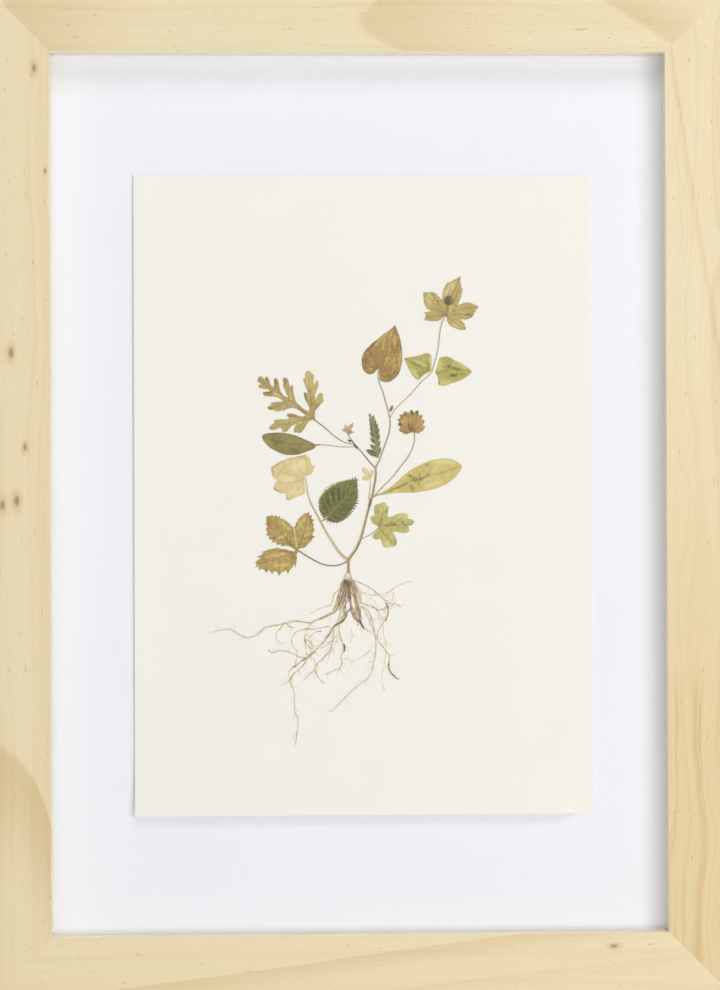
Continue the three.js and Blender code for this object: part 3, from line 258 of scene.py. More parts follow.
def pine(name, upright, rings=(), knots=(), warm=(), golden=(), lines=0.5, flow=9.0, shift=0.0):
    """Pine with its grain upright or level, its growth rings and knots, warm streaks between the
    places along it that `warm` gives, and a turn from pale to golden between those of `golden`."""
    g = Graph(name, 0.48)
    x, y, z = g.split(g.place())
    along, across = (z, x) if upright else (x, z)
    drift = g.noise(g.scaled(g.vector(along, across, y), (0.012, 0.05, 0.05)), 1, 2)
    bent = g.plus(across, g.blend(drift, flow, shift))
    line_place = g.vector(g.times(along, 0.006), bent, g.times(y, 0.4))
    fibre = g.noise(g.vector(g.times(along, 0.03), across, y), 3.2, 3, 0.6)
    shade = g.step(g.noise(line_place, 0.16, 3, 0.55), 0.42, 0.72, 0.0, 0.55 * lines)
    shade = g.plus(shade, g.step(g.noise(line_place, 0.9, 4, 0.65), 0.45, 0.75, 0.0, 0.35 * lines))
    for ring in rings:
        shade = g.plus(shade, growth_ring(g, along, across, drift, *ring))
    pale = tone(PINE_PALE)
    for start, end in golden:
        pale = g.mix(g.step(along, start, end, 1.0, 0.0), pale, tone(PINE_GOLDEN))
    base = g.mix(shade, pale, tone(PINE_DEEP))
    for low, high, share in warm:
        here = g.times(g.step(along, low, low + 12), g.step(along, high - 25, high, 1.0, 0.0))
        streak = g.step(g.noise(line_place, 0.34, 4, 0.7), 0.45, 0.7)
        base = g.mix(g.times(g.times(here, streak), share), base, tone(PINE_WARM))
    base = g.mix(g.step(fibre, 0.35, 0.8, 0.0, 0.22), base, tone(PINE_DEEP))
    fleck_place = g.vector(g.times(along, 0.16), across, y)
    fleck = g.step(g.noise(fleck_place, 1.3, 2, 0.5), 0.69, 0.77, 0.0, 0.7)
    base = g.mix(fleck, base, tone(FLECK))
    for knot in knots:
        base = with_knot(g, base, along, across, fibre, *knot)
    facing = outward(g, x, z)
    # Painted reflection and painted light: the sides that face the opening are mixed towards near white.
    g.colour(g.mix(g.step(facing, *INNER_SIDE_RANGE, PAINTED_SHEEN_SHARE, 0.0), base, tone(PINE_PAINTED_SHEEN)))
    g.tree.links.new(g.step(facing, *INNER_SIDE_RANGE, 0.26, 0.42), g.shader.inputs["Roughness"])
    g.bump(g.plus(fibre, g.times(fleck, -1.0)), 0.05 * MM, 0.6)
    return g.material


def mount_card():
    """White card, with painted shade along the left and top edges of what shows of it, at the feet of the
    left and top rails.
    """
    g = Graph("mount_card", 0.9)
    soft = g.noise(g.place((0.02, 0.02, 0.02)), 1, 2)
    grain = g.noise(g.place(), 3.0, 3)
    x, _, z = g.split(g.place())
    # Painted shade: the card is mixed towards grey along the foot of the left rail and under the top rail,
    # where shade falls.
    painted_shade = g.math("MAXIMUM", g.step(x, -142.5, -130.0, 0.8, 0.0), g.step(z, 11.0, 17.0, 0.0, 0.3))
    base = g.mix(g.step(soft, 0.3, 0.7), tone(0xf7f8fe), tone(0xf6f7fd))
    g.colour(g.mix(painted_shade, base, tone(0xedeef3)))
    g.bump(grain, 0.01 * MM, 0.3)
    return g.material


def sheet_paper():
    """Cream paper with a soft cloudiness and a fine darker tooth."""
    g = Graph("sheet_paper", 0.92)
    cloud = g.noise(g.place((0.05, 0.05, 0.05)), 1, 3)
    grain = g.noise(g.place(), 2.2, 4, 0.65)
    base = g.mix(g.step(cloud, 0.3, 0.7), tone(0xfbf8f1), tone(0xfaf7ef))
    g.colour(g.mix(g.step(grain, 0.45, 0.75, 0.0, 0.4), base, tone(0xf4f0e6)))
    g.bump(grain, 0.03 * MM, 0.5)
    return g.material


def clear_glass():
    g = Graph("clear_glass", 0.0)
    g.shader.inputs["Base Color"].default_value = (0.992, 1.0, 0.996, 1)
    g.shader.inputs["Transmission Weight"].default_value = 1.0
    g.shader.inputs["IOR"].default_value = 1.5
    return g.material


def fibreboard():
    g = Graph("fibreboard", 0.85)
    fleck = g.noise(g.place((1, 1, 0.5)), 1.4, 5, 0.7)
    cloud = g.noise(g.place((0.04, 0.04, 0.04)), 1, 2)
    base = g.mix(g.step(fleck, 0.3, 0.7), tone(0x967048), tone(0xb69064))
    g.colour(g.mix(g.step(cloud, 0.35, 0.7, 0.0, 0.4), base, tone(0xa8865e)))
    g.bump(fleck, 0.08 * MM, 0.6)
    return g.material


def zinc():
    """Zinc-plated steel, brushed along its length."""
    g = Graph("zinc", 0.38)
    g.shader.inputs["Metallic"].default_value = 1.0
    brushed = g.noise(g.place((0.3, 2.0, 6.0)), 1, 3)
    g.colour(g.mix(g.step(brushed, 0.3, 0.7), tone(0xacb0b2), tone(0xcccecc)))
    g.bump(brushed, 0.02 * MM, 0.5)
    return g.material


# How much brighter a leaf's colours are than they look behind the glass
LEAF_LIGHT = (1.015, 1.015, 0.97)


def leaf_skin(name, colours, grain):
    """Dry leaf: mottled between two colours, then its pale patches, stains, veins and rim."""
    g = Graph(name, 0.72)
    main, second, vein, pale, stain, rim = (tone(colour, LEAF_LIGHT) for colour in colours)
    cells = g.noise(g.place(), 1.0 / grain, 4, 0.7)
    clouds = g.noise(g.place((0.2, 0.2, 0.2)), 1, 4, 0.6)
    network = {"Vector": g.place(), "Scale": 1.0 / grain}
    network = g.add("TexVoronoi", network, feature="DISTANCE_TO_EDGE")
    base = g.mix(g.step(cells, 0.43, 0.57), main, second)
    base = g.mix(g.step(clouds, 0.4, 0.65, 0.0, 0.6), base, second)
    base = g.mix(g.step(clouds, 0.35, 0.5, 0.35, 0.0), base, pale)
    base = g.mix(g.step(cells, 0.3, 0.42, 0.8, 0.0), base, pale)
    base = g.mix(g.step(network, 0.0, 0.16, 0.3, 0.0), base, vein)
    broken = g.step(cells, 0.35, 0.6, 0.3, 1.0)
    base = g.mix(g.times(g.attribute("pale"), broken), base, pale)
    base = g.mix(g.times(g.attribute("stain"), broken), base, stain)
    base = g.mix(g.times(g.attribute("rim"), 0.35), base, rim)
    base = g.mix(g.times(g.attribute("vein"), 0.75), base, vein)
    g.colour(base)
    g.bump(g.plus(cells, g.times(g.attribute("vein"), 0.8)), 0.13 * MM, 0.9)
    return g.material


def stem_skin(name, main, dark, pale):
    """Dry stem: fine lengthwise ridges, darker along its right side and paler along its left."""
    g = Graph(name, 0.6)
    across = g.attribute("across")
    flow = g.vector(g.attribute("along"), across)
    ridges = g.noise(g.scaled(flow, (0.25, 3.0, 1)), 1, 3)
    patches = g.noise(g.scaled(flow, (0.12, 0.3, 1)), 1, 2)
    base = g.mix(g.step(ridges, 0.35, 0.7, 0.0, 0.6), tone(main), tone(dark))
    base = g.mix(g.step(patches, 0.45, 0.7, 0.0, 0.5), base, tone(dark))
    base = g.mix(g.step(across, 0.1, -0.7, 0.0, 0.9), base, tone(pale))
    base = g.mix(g.step(across, 0.3, 0.9, 0.0, 0.9), base, tone(dark))
    g.colour(base)
    g.bump(ridges, 0.05 * MM, 0.6)
    return g.material


# The colours that a root turns through, from the palest fibre to the darkest
ROOT_PALE = 0xf0e1bc
ROOT_TAN = 0xb48e5e
ROOT_DARK = 0x704e30


def root_skin():
    """Dry root: from pale through tan to dark, by each fibre's own depth of colour, in patches."""
    g = Graph("root_skin", 0.8)
    depth = g.attribute("depth")
    flow = g.vector(g.attribute("along"), g.attribute("across"), depth)
    patches = g.noise(g.scaled(flow, (0.45, 0.4, 9.0)), 1, 3)
    shade = g.plus(depth, g.step(patches, 0.3, 0.7, -0.3, 0.35))
    base = g.mix(g.step(shade, 0.0, 0.55), tone(ROOT_PALE), tone(ROOT_TAN))
    g.colour(g.mix(g.step(shade, 0.45, 1.0), base, tone(ROOT_DARK)))
    g.bump(patches, 0.05 * MM, 0.5)
    return g.material


def front_outline(name):
    """The outline of a CAD node's front face, in millimetres from the crown, anticlockwise."""
    mesh = NODES[name].data
    points = np.array([v.co for v in mesh.vertices]) / MM
    front = points[:, 1].min()
    keys = [(round(x - CROWN[0], 4), round(z - CROWN[1], 4)) for x, _, z in points]
    edges = set()
    for polygon in mesh.polygons:
        corners = list(polygon.vertices)
        if all(abs(points[i][1] - front) < 0.01 for i in corners):
            ring = [keys[i] for i in corners]
            edges.update(zip(ring, ring[1:] + ring[:1]))
    following = {a: b for a, b in edges if (b, a) not in edges}
    loop = [next(iter(sorted(following)))]
    while following[loop[-1]] != loop[0]:
        loop.append(following[loop[-1]])
    return np.array(loop)


def turns(loop):
    """How far each corner of a closed line turns, in degrees."""
    before = loop - np.roll(loop, 1, axis=0)
    after = np.roll(loop, -1, axis=0) - loop
    cross = before[:, 0] * after[:, 1] - before[:, 1] * after[:, 0]
    dot = (before * after).sum(axis=1)
    return np.degrees(np.arctan2(cross, dot))


def curve_through(before, start, end, after, step):
    """Points from start towards end on a smooth curve that also heeds the points beyond them."""
    count = max(1, math.ceil(np.linalg.norm(end - start) / step))
    t = (np.arange(count) / count)[:, None]
    return 0.5 * (
        2 * start
        + (end - before) * t
        + (2 * before - 5 * start + 4 * end - after) * t**2
        + (3 * start - before - 3 * end + after) * t**3
    )


def smooth_loop(loop, step, sharp):
    """The closed line made smooth, apart from corners that turn more than `sharp` degrees."""
    corner = np.abs(turns(loop)) > sharp
    count = len(loop)
    pieces = []
    for i in range(count):
        start, end = loop[i], loop[(i + 1) % count]
        before = start if corner[i] else loop[i - 1]
        after = end if corner[(i + 1) % count] else loop[(i + 2) % count]
        pieces.append(curve_through(before, start, end, after, step))
    return np.concatenate(pieces)


def smooth_route(route, step):
    route = np.array(route, float)
    pieces = []
    for i in range(len(route) - 1):
        before = route[max(i - 1, 0)]
        after = route[min(i + 2, len(route) - 1)]
        pieces.append(curve_through(before, route[i], route[i + 1], after, step))
    return np.concatenate([*pieces, route[-1:]])


def distance_to(points, line):
    """How far each point is from a line of points."""
    start, end = line[:-1], line[1:]
    reach = end - start
    length = np.maximum((reach**2).sum(axis=1), 1e-12)
    share = ((points[:, None, :] - start) * reach).sum(axis=2) / length
    nearest = start + np.clip(share, 0, 1)[:, :, None] * reach
    return np.linalg.norm(points[:, None, :] - nearest, axis=2).min(axis=1)


def near_routes(points, routes):
    """1 on any of the routes, each with its half width, falling softly to 0 beside it."""
    value = np.zeros(len(points))
    for width, *route in routes:
        gap = distance_to(points, smooth_route(route, 0.5))
        value = np.maximum(value, np.exp(-((gap / width) ** 2)))
    return value


def inside(points, loop):
    x, z = points[:, 0][:, None], points[:, 1][:, None]
    ax, az = loop[:, 0], loop[:, 1]
    bx, bz = np.roll(ax, -1), np.roll(az, -1)
    spans = (az > z) != (bz > z)
    with np.errstate(divide="ignore", invalid="ignore"):
        hit = x < (bx - ax) * (z - az) / (bz - az) + ax
    return (spans & hit).sum(axis=1) % 2 == 1


SHARP_EDGE = math.radians(50)


def add_piece(name, points, faces, replaced, material, values):
    """A mesh piece from points in millimetres, with the values that its material reads."""
    mesh = bpy.data.meshes.new(name)
    mesh.from_pydata((np.asarray(points) * MM).tolist(), [], faces)
    mesh.polygons.foreach_set("use_smooth", [True] * len(mesh.polygons))
    mesh.set_sharp_from_angle(angle=SHARP_EDGE)
    for key, numbers in values.items():
        mesh.attributes.new(key, "FLOAT", "POINT").data.foreach_set("value", np.asarray(numbers, np.float32))
    mesh.materials.append(material)
    piece = add_object(name, mesh)
    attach(piece, "root")
    if replaced:
        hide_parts(*replaced)


def wavy(points, size, seed):
    """A smooth value from -1 to 1 that rises and falls over about `size` millimetres."""
    return np.array([noise.noise(Vector((x / size, z / size, seed))) for x, z in points])


def blade_mesh(loop, cell):
    """Fine triangles that fill an outline: their points, and the three corners of each."""
    low, high = loop.min(axis=0), loop.max(axis=0)
    columns = np.arange(low[0], high[0], cell)
    rows = np.arange(low[1], high[1], cell * 0.87)
    grid = np.array([(x + cell / 2 * (j % 2), z) for j, z in enumerate(rows) for x in columns])
    grid = grid[inside(grid, loop)]
    closed = np.concatenate([loop, loop[:1]])
    grid = grid[distance_to(grid, closed) > cell * 0.45]
    corners = [Vector(p) for p in np.concatenate([loop, grid]).tolist()]
    border = list(range(len(loop)))
    points, _, faces, *_ = geometry.delaunay_2d_cdt(corners, [], [border], 1, 1e-5)
    return np.array([tuple(p) for p in points]), faces


def on_paper(points, height):
    """Points measured from the crown, at heights off the paper, in the object's millimetres."""
    return np.stack([points[:, 0] + CROWN[0], PAPER - height, points[:, 1] + CROWN[1]], axis=1)


def closed_skins(front, back, faces):
    """A thin piece from its front and back points, which its front faces join, and a rim between."""
    count = len(front)
    edges = dict.fromkeys(edge for face in faces for edge in zip(face, (*face[1:], face[0])))
    closed = [tuple(face) for face in faces]
    closed += [tuple(count + i for i in reversed(face)) for face in faces]
    closed += [(b, a, count + a, count + b) for a, b in edges if (b, a) not in edges]
    return np.concatenate([front, back]), closed


def lengths(line):
    """How far along a line each of its points is."""
    return np.concatenate([[0], np.cumsum(np.linalg.norm(np.diff(line, axis=0), axis=1))])


def right_of(headings):
    """A step of one millimetre to the right of each heading."""
    ahead = headings / np.linalg.norm(headings, axis=1)[:, None]
    return np.stack([ahead[:, 1], -ahead[:, 0]], axis=1)


# Leaves and flowers. Each has its colours as they look (main, second, veins, pale patches, stains,
# rim), its grain in millimetres, and its veins, pale patches and stains as (half width, *route).
LEAVES = {
    "heart_leaf": {
        "colours": (0xc0a466, 0x9a7e4a, 0x8a6e40, 0xe0c07a, 0x84683c, 0x82663a),
        "grain": 0.9,
        "veins": [
            (0.3, (15, 94.5), (17, 99), (19, 104), (21, 110), (22.6, 115)),
            (0.25, (15, 95), (12.6, 99), (10.8, 105)), (0.25, (15, 95), (11.5, 97), (8.2, 99)),
            (0.25, (15.2, 95), (19.5, 98.5), (23, 104), (24.5, 109)),
            (0.25, (15.2, 94.5), (20, 95), (25, 97)), (0.25, (15.3, 94), (18.5, 91.5), (22, 91.5)),
        ],
        "pales": [
            (0.35, (16.8, 105), (17.8, 110)), (0.35, (19.6, 104), (20.6, 109.4)),
            (0.35, (22.4, 106.4), (23, 110.5)), (0.4, (20.3, 110.4), (21.6, 113.6)),
            (0.4, (13.6, 106.6), (19.5, 113)), (0.4, (24.6, 96), (25.2, 103)),
        ],
        "stains": [
            (1.8, (9.5, 96), (9.2, 100)), (0.5, (8.6, 103), (11, 106), (13, 108)),
            (0.8, (12.5, 94.5), (14, 97)), (0.5, (20, 92), (24, 94)),
        ],
    },
    "pair_leaf_left": {
        "colours": (0xcac07e, 0xb0a862, 0x88824e, 0xdcd496, 0x8a8c4c, 0xc4ba7e),
        "grain": 0.8,
        "veins": [
            (0.3, (39.4, 94.6), (36, 95.6), (32.5, 97.4), (27.6, 100.2)), (0.22, (38, 95), (37.8, 99)),
            (0.22, (35.5, 95.8), (34, 92)),
        ],
        "pales": [
            (0.8, (39.2, 96), (39.2, 100.5)), (0.4, (37, 97), (32.5, 99)), (0.5, (33.6, 90.9), (30, 95.5)),
        ],
        "stains": [
            (0.6, (31.5, 98), (34, 97)), (0.7, (34.6, 92), (36.2, 94)), (0.7, (38, 95.5), (38.4, 98)),
        ],
    },
    "pair_leaf_right": {
        "colours": (0xc8bc76, 0xaca25a, 0x928a50, 0xdace88, 0x5c642e, 0xc4b87a),
        "grain": 0.8,
        "veins": [
            (0.25, (42.6, 93.4), (47, 94.6), (52, 95.2), (58, 94.4)),
            (0.3, (41.6, 93.8), (42.9, 91), (43.2, 88.6)),
        ],
        "pales": [
            (1.3, (43.6, 98.5), (43.4, 96)), (1.2, (44.6, 89), (48.4, 89)), (0.7, (51, 99), (55.5, 96.6)),
        ],
        "stains": [
            (0.75, (47.6, 96.8), (49.8, 95.9), (53, 95)), (0.9, (49, 92.2), (51, 92.6)),
            (0.5, (52.4, 93.4), (53.8, 93)),
        ],
    },
    "top_flower": {
        "colours": (0xd4c288, 0xb4a066, 0x907c4c, 0xe0ce96, 0x7a5630, 0xa8945e),
        "grain": 0.7,
        "veins": [
            (0.28, (46.3, 120.8), (48, 126), (50.5, 132), (53.3, 138)),
            (0.22, (47, 121.5), (50.5, 127), (52.6, 133)), (0.22, (46.2, 121.2), (46.8, 128), (49, 134)),
            (0.28, (46, 120.8), (42, 125), (36.6, 130.8)), (0.22, (45.4, 122), (42, 128), (39.6, 130.8)),
            (0.22, (44.6, 121.8), (40.5, 124), (37.4, 126.6)),
            (0.28, (46, 120.6), (41, 120), (36.8, 119.6)),
            (0.28, (46.6, 120.4), (50, 117.4), (55.2, 114.4)),
            (0.28, (46.6, 121), (53, 123.2), (61, 124.4)), (0.22, (46.8, 120.7), (52, 121), (58.4, 120.4)),
        ],
        "pales": [
            (1.2, (46.6, 131), (50, 135)), (1.2, (38.5, 129.8), (38.5, 126)), (1.0, (50.5, 116), (54, 115)),
            (0.8, (48.2, 122), (48.6, 125)),
        ],
        "stains": [
            (0.55, (56.8, 121), (58.2, 120.4)), (0.5, (45.2, 120.8), (46.8, 120.5)),
            (0.35, (53.1, 138), (53.4, 138.6)), (0.3, (47.2, 122), (47.6, 125.5)),
        ],
    },
    "divided_leaf": {
        "colours": (0xcab680, 0xae9a66, 0x947e50, 0xd8c688, 0x806646, 0xa6905e),
        "grain": 0.8,
        "veins": [
            (0.3, (-14.8, 72), (-18, 74.6), (-21, 76.6), (-25, 80), (-28, 82.2), (-32, 84.6), (-36, 87),
             (-40, 90.5)),
            (0.28, (-16, 73.4), (-16.4, 79), (-17, 85), (-18, 92.5)),
            (0.2, (-15.4, 78), (-14.4, 85), (-13.6, 89)),
            (0.2, (-14.8, 76.5), (-12.8, 80.6), (-11.8, 83.4)),
            (0.28, (-16.4, 72.8), (-21, 71.8), (-26, 70.6), (-31, 69.6), (-35, 68)),
            (0.2, (-19.6, 71.8), (-23.4, 67)), (0.2, (-20, 72.4), (-27.2, 74.1)),
            (0.2, (-26.6, 81), (-27.4, 86), (-28.8, 90.8)), (0.2, (-27.4, 81.2), (-31, 78.8), (-36, 77.4)),
            (0.2, (-30.6, 83.6), (-32.3, 86.6), (-33, 90.6)), (0.2, (-34, 85.6), (-38, 84.3)),
            (0.2, (-24.6, 79.6), (-25.3, 84), (-25.5, 87.4)),
        ],
        "pales": [
            (1.5, (-17.6, 88), (-18.2, 93)), (1.1, (-14.6, 84), (-13.8, 88.5)),
            (1.1, (-13, 80.6), (-12, 83.2)), (0.8, (-34, 84.6), (-31, 83)),
        ],
        "stains": [
            (0.45, (-16.9, 85.4), (-16.9, 84.9)), (0.6, (-19.5, 84.2), (-19, 81.5)),
            (0.6, (-33.4, 90.6), (-33, 88.5)), (0.6, (-38.6, 84.6), (-34.6, 84.4)),
            (0.4, (-37.6, 91.6), (-37, 89.6)), (0.4, (-29.4, 91), (-29, 88.6)),
            (0.5, (-25.5, 87.8), (-25.3, 86.6)), (0.5, (-36.6, 77.6), (-35, 77.2)),
            (0.4, (-22, 77), (-19.4, 75)), (0.45, (-27.6, 74), (-24, 73.4)),
            (0.4, (-34.8, 85), (-36, 84.6)),
        ],
    },
    "oval_leaf": {
        "colours": (0x9c925c, 0x887e4c, 0x7a7044, 0xa69e62, 0x72683c, 0x867a4c),
        "grain": 1.1,
        "veins": [(0.3, (-14.6, 60.1), (-19, 60.4), (-25, 60.8), (-32, 62), (-39, 64.2))],
        "pales": [(1.2, (-37.6, 61.8), (-36, 61.4)), (1.2, (-20, 60), (-17, 60.4))],
        "stains": [
            (1.6, (-34, 62), (-32.4, 61)), (0.5, (-24, 64.4), (-15.5, 60.8)), (0.8, (-34.4, 65), (-33, 65)),
            (1.0, (-25, 58), (-23, 57)),
        ],
    },
    "ivy_leaf": {
        "colours": (0xe8d5a8, 0xdcc898, 0xc0a676, 0xeedeb8, 0xb49268, 0xceb486),
        "grain": 1.3,
        "veins": [
            (0.26, (-19.9, 44.2), (-22, 45.4), (-26, 46.4), (-30.5, 47.6)),
            (0.2, (-20.2, 45), (-21.6, 47.6), (-23.4, 50.4)), (0.2, (-20.4, 44), (-25, 42.8), (-31, 42.4)),
            (0.2, (-19.8, 45.4), (-18.6, 50), (-19.4, 55)),
            (0.2, (-20.2, 43), (-22.6, 39.6), (-26.6, 35.4)),
            (0.22, (-29.2, 51.6), (-30.2, 49), (-32.6, 45.6)),
        ],
        "pales": [
            (2.2, (-24, 49.6), (-20, 51)), (1.5, (-26, 44.4), (-29, 44)), (1.6, (-25, 38), (-23, 38.6)),
        ],
        "stains": [
            (0.45, (-35, 50), (-30.5, 52.6), (-28.2, 53.4)), (0.45, (-27, 54), (-22.5, 55), (-19.6, 55.6)),
            (0.4, (-35, 48.6), (-34.2, 45.4)), (0.5, (-21.6, 54.6), (-19.8, 54.4)),
            (0.35, (-34, 39.8), (-29.8, 37.8)), (0.4, (-28.6, 36.4), (-27.2, 34.6)),
        ],
    },
    "bramble_leaf": {
        "colours": (0x74723e, 0x58582c, 0x989664, 0x96945c, 0x4e502a, 0x747246),
        "grain": 0.6,
        "veins": [
            (0.3, (-10.6, 25.2), (-7, 29), (-3.5, 32.5), (0.5, 37), (3, 41), (4.6, 44.2)),
            (0.22, (-9, 27), (-11.2, 29.8), (-12.9, 33.2)),
            (0.22, (-7.6, 28.4), (-9.6, 32.4), (-11.2, 36.8)), (0.22, (-6, 30), (-7.6, 34.6), (-8.4, 39.6)),
            (0.22, (-4.3, 31.8), (-5.2, 36.4), (-5.2, 41.6)),
            (0.22, (-2.6, 33.4), (-2.9, 38), (-2.2, 42.8)), (0.22, (-0.9, 35.4), (-0.4, 39.4), (0.6, 43.2)),
            (0.22, (0.9, 37.8), (1.8, 41), (3, 43.6)), (0.22, (-9, 27), (-6.4, 25.6), (-3.4, 24.8)),
            (0.22, (-7.6, 28.4), (-3.6, 26.8), (-0.2, 26.4)), (0.22, (-6, 30), (-2.2, 28.6), (1.8, 28.8)),
            (0.22, (-4.3, 31.8), (-0.4, 30.8), (3.6, 31.8)), (0.22, (-2.6, 33.4), (1, 33), (4.6, 34.6)),
            (0.22, (-0.9, 35.4), (2, 35.6), (4.8, 37.6)), (0.22, (0.9, 37.8), (3, 38.6), (4.9, 40.6)),
        ],
        "pales": [(0.7, (-13, 31), (-12.6, 35.4), (-9, 39.8), (-4, 42.6), (2, 44))],
        "stains": [
            (1.1, (-9.4, 34.6), (-9, 31.4)), (0.9, (-7, 37.6), (-6, 33.4)), (0.8, (-11, 31), (-10, 28.6)),
            (0.8, (-3.9, 39), (-3.8, 35)), (0.7, (-4, 26), (-6, 27)), (0.6, (-1, 28), (-4, 29.4)),
            (0.6, (2, 30.4), (-2, 31)),
        ],
    },
    "strawberry_leaf": {
        "colours": (0xceb676, 0xae945a, 0x907442, 0xdec682, 0x86683c, 0x9c804a),
        "grain": 0.7,
        "veins": [
            (0.3, (-23.4, 11.4), (-26, 14.2), (-29, 17.4), (-33, 22), (-36.6, 26.2)),
            (0.2, (-26, 14.2), (-30.8, 14.4)), (0.2, (-27.8, 16.2), (-33.6, 16)),
            (0.2, (-29.6, 18.2), (-36.4, 18.6)), (0.2, (-31.6, 20.4), (-37.2, 22)),
            (0.2, (-26, 14.2), (-26.6, 20)), (0.2, (-27.8, 16.2), (-28.6, 23)),
            (0.2, (-29.6, 18.2), (-31, 25)), (0.2, (-31.6, 20.4), (-33.8, 26.4)),
            (0.3, (-23.2, 11.6), (-21.4, 16), (-19.6, 21.4), (-18.2, 28)),
            (0.2, (-22.2, 14), (-18.4, 14.6)), (0.2, (-21.2, 16.6), (-16.4, 18)),
            (0.2, (-20.4, 19.2), (-16, 21.6)), (0.2, (-19.6, 21.8), (-16.2, 24.8)),
            (0.2, (-21.6, 15.6), (-23.6, 20)), (0.2, (-20.6, 18.6), (-22.8, 24)),
            (0.2, (-19.8, 21.2), (-21.4, 26.2)),
            (0.3, (-23.8, 10.6), (-28, 9), (-33, 7), (-38, 5.6), (-42, 5)), (0.2, (-27, 9.4), (-30, 11.4)),
            (0.2, (-30, 8.2), (-34.4, 11.4)), (0.2, (-33, 7), (-38.4, 10)), (0.2, (-36, 6.2), (-40.6, 7.6)),
            (0.2, (-26.4, 9.6), (-26, 4)), (0.2, (-29, 8.6), (-28, 2)), (0.2, (-31.6, 7.6), (-31.8, 0.8)),
            (0.2, (-34.4, 6.6), (-35.4, 1.6)), (0.2, (-37, 6), (-39, 2.8)),
        ],
        "pales": [
            (0.35, (-23.9, 13.5), (-24.3, 20.4)), (0.7, (-27, 21), (-31, 24.6)),
            (0.7, (-34, 4), (-28, 4.6)), (0.6, (-22.6, 22), (-20.6, 25)), (0.6, (-36, 8.4), (-30, 9.6)),
            (0.6, (-32, 16.8), (-28.4, 18.6)),
        ],
        "stains": [
            (0.6, (-25.4, 9.4), (-25, 7.8)), (0.5, (-17.2, 26.8), (-17, 24.6)),
            (0.6, (-25.4, 13.4), (-28, 15.4)), (0.5, (-26, 10.4), (-32, 11)),
            (0.5, (-16, 17.4), (-18, 16.6)), (0.4, (-39, 9.4), (-41, 8)), (0.4, (-36.4, 1.4), (-38, 2)),
            (0.5, (-33, 17), (-35.6, 16.6)), (0.5, (-37, 25.6), (-36, 22.6)),
        ],
    },
    "spoon_leaf": {
        "colours": (0xdccb88, 0xcebc76, 0xa08c52, 0xe4d89e, 0x7c6c36, 0xdace96),
        "grain": 1.0,
        "veins": [
            (0.28, (13.4, 36.3), (20, 39), (25, 41), (30, 43.2), (35.5, 44.6), (40, 46), (45, 47.4),
             (51, 49.4)),
        ],
        "pales": [(1.0, (41, 52.4), (50, 51.8)), (1.2, (38, 41), (44, 42.6))],
        "stains": [
            (1.1, (31, 43.6), (34.6, 44.2)), (0.9, (29.8, 40.8), (31, 38.8)),
            (0.6, (36.6, 50.6), (37.6, 51)), (0.7, (29.2, 45.8), (32, 43.8)),
            (0.5, (33.4, 41.8), (33.8, 46.4)), (0.5, (34, 44), (38.4, 46.4)), (0.5, (20, 38.6), (28, 42)),
        ],
    },
    "oak_leaf": {
        "colours": (0xd4ca8a, 0xbcb06e, 0x8a804a, 0xdcd69a, 0x867848, 0xcec48e),
        "grain": 0.9,
        "veins": [
            (0.28, (14.5, 21.2), (15.4, 23), (16.4, 28), (17, 31.8)),
            (0.28, (15, 22.4), (19, 22.9), (24, 22.8), (30, 23.2)),
            (0.24, (15, 22.4), (13, 24.4), (12, 26)), (0.24, (14.8, 21.4), (13, 18.6), (12.6, 17.2)),
            (0.28, (15, 21.6), (17.4, 18.4), (19.6, 16), (21.4, 14)), (0.18, (21.6, 22.9), (26, 26.6)),
            (0.18, (22, 22.8), (27, 20.4)), (0.18, (16.2, 27), (13.8, 30)),
        ],
        "pales": [
            (1.1, (16.5, 29.5), (17.5, 32)), (1.0, (18, 14), (19.5, 13)), (1.0, (28, 26.8), (24, 26.8)),
        ],
        "stains": [
            (0.8, (18, 22.4), (22, 23.2)), (0.5, (25, 24.6), (28, 22)), (0.6, (15, 23.4), (16, 25)),
            (0.45, (18, 29.4), (18.6, 28.4)), (0.4, (22.4, 15.6), (22.6, 14)),
        ],
    },
    "star_leaf": {
        "colours": (0xd0b692, 0xb89a74, 0xa0805c, 0xe2ceaa, 0x92704e, 0xb69874),
        "grain": 0.6,
        "veins": [
            (0.2, (0.9, 64.8), (0.6, 68.4)), (0.2, (0.9, 64.9), (-1.8, 66.9)),
            (0.2, (0.9, 64.9), (2.6, 69.6)),
        ],
        "pales": [(0.5, (-1.4, 68), (1.6, 68.6))],
        "stains": [(0.5, (0.8, 64.6), (1, 65.6))],
    },
    "small_leaf": {
        "colours": (0xecdeb6, 0xdecea2, 0xcebc8e, 0xf0e6c4, 0xc8b282, 0xdecea4),
        "grain": 0.7,
        "veins": [
            (0.2, (10.7, 44.4), (9.4, 46.4), (7.8, 49)), (0.2, (10.6, 44.6), (11.8, 47.6)),
            (0.2, (10.2, 44.8), (7.6, 44.2)),
        ],
        "pales": [(0.6, (9, 47), (8.6, 48.4))],
        "stains": [(0.4, (10.6, 44.6), (11, 45.6))],
    },
    "fern_leaf": {
        "colours": (0x8e8e62, 0x707046, 0xa8a47a, 0xa2a076, 0x5e5c3a, 0x7e7e56),
        "grain": 0.6,
        "veins": [(0.3, (14.1, 54.2), (13.6, 61), (12.8, 66), (11.6, 71.6), (10.7, 74.4))],
        "pales": [(0.5, (11, 73.8), (12, 70.6))],
        "stains": [
            (0.7, (12.4, 56.6), (13.6, 55.6)), (0.5, (10, 57.4), (12, 57)), (0.5, (14.6, 66), (14, 69)),
            (0.25, (13.5, 59), (11.6, 60.6)), (0.25, (13.4, 61.6), (11.6, 63.2)),
            (0.25, (13.2, 64), (11.4, 65.8)), (0.25, (12.8, 66.6), (11, 68.4)),
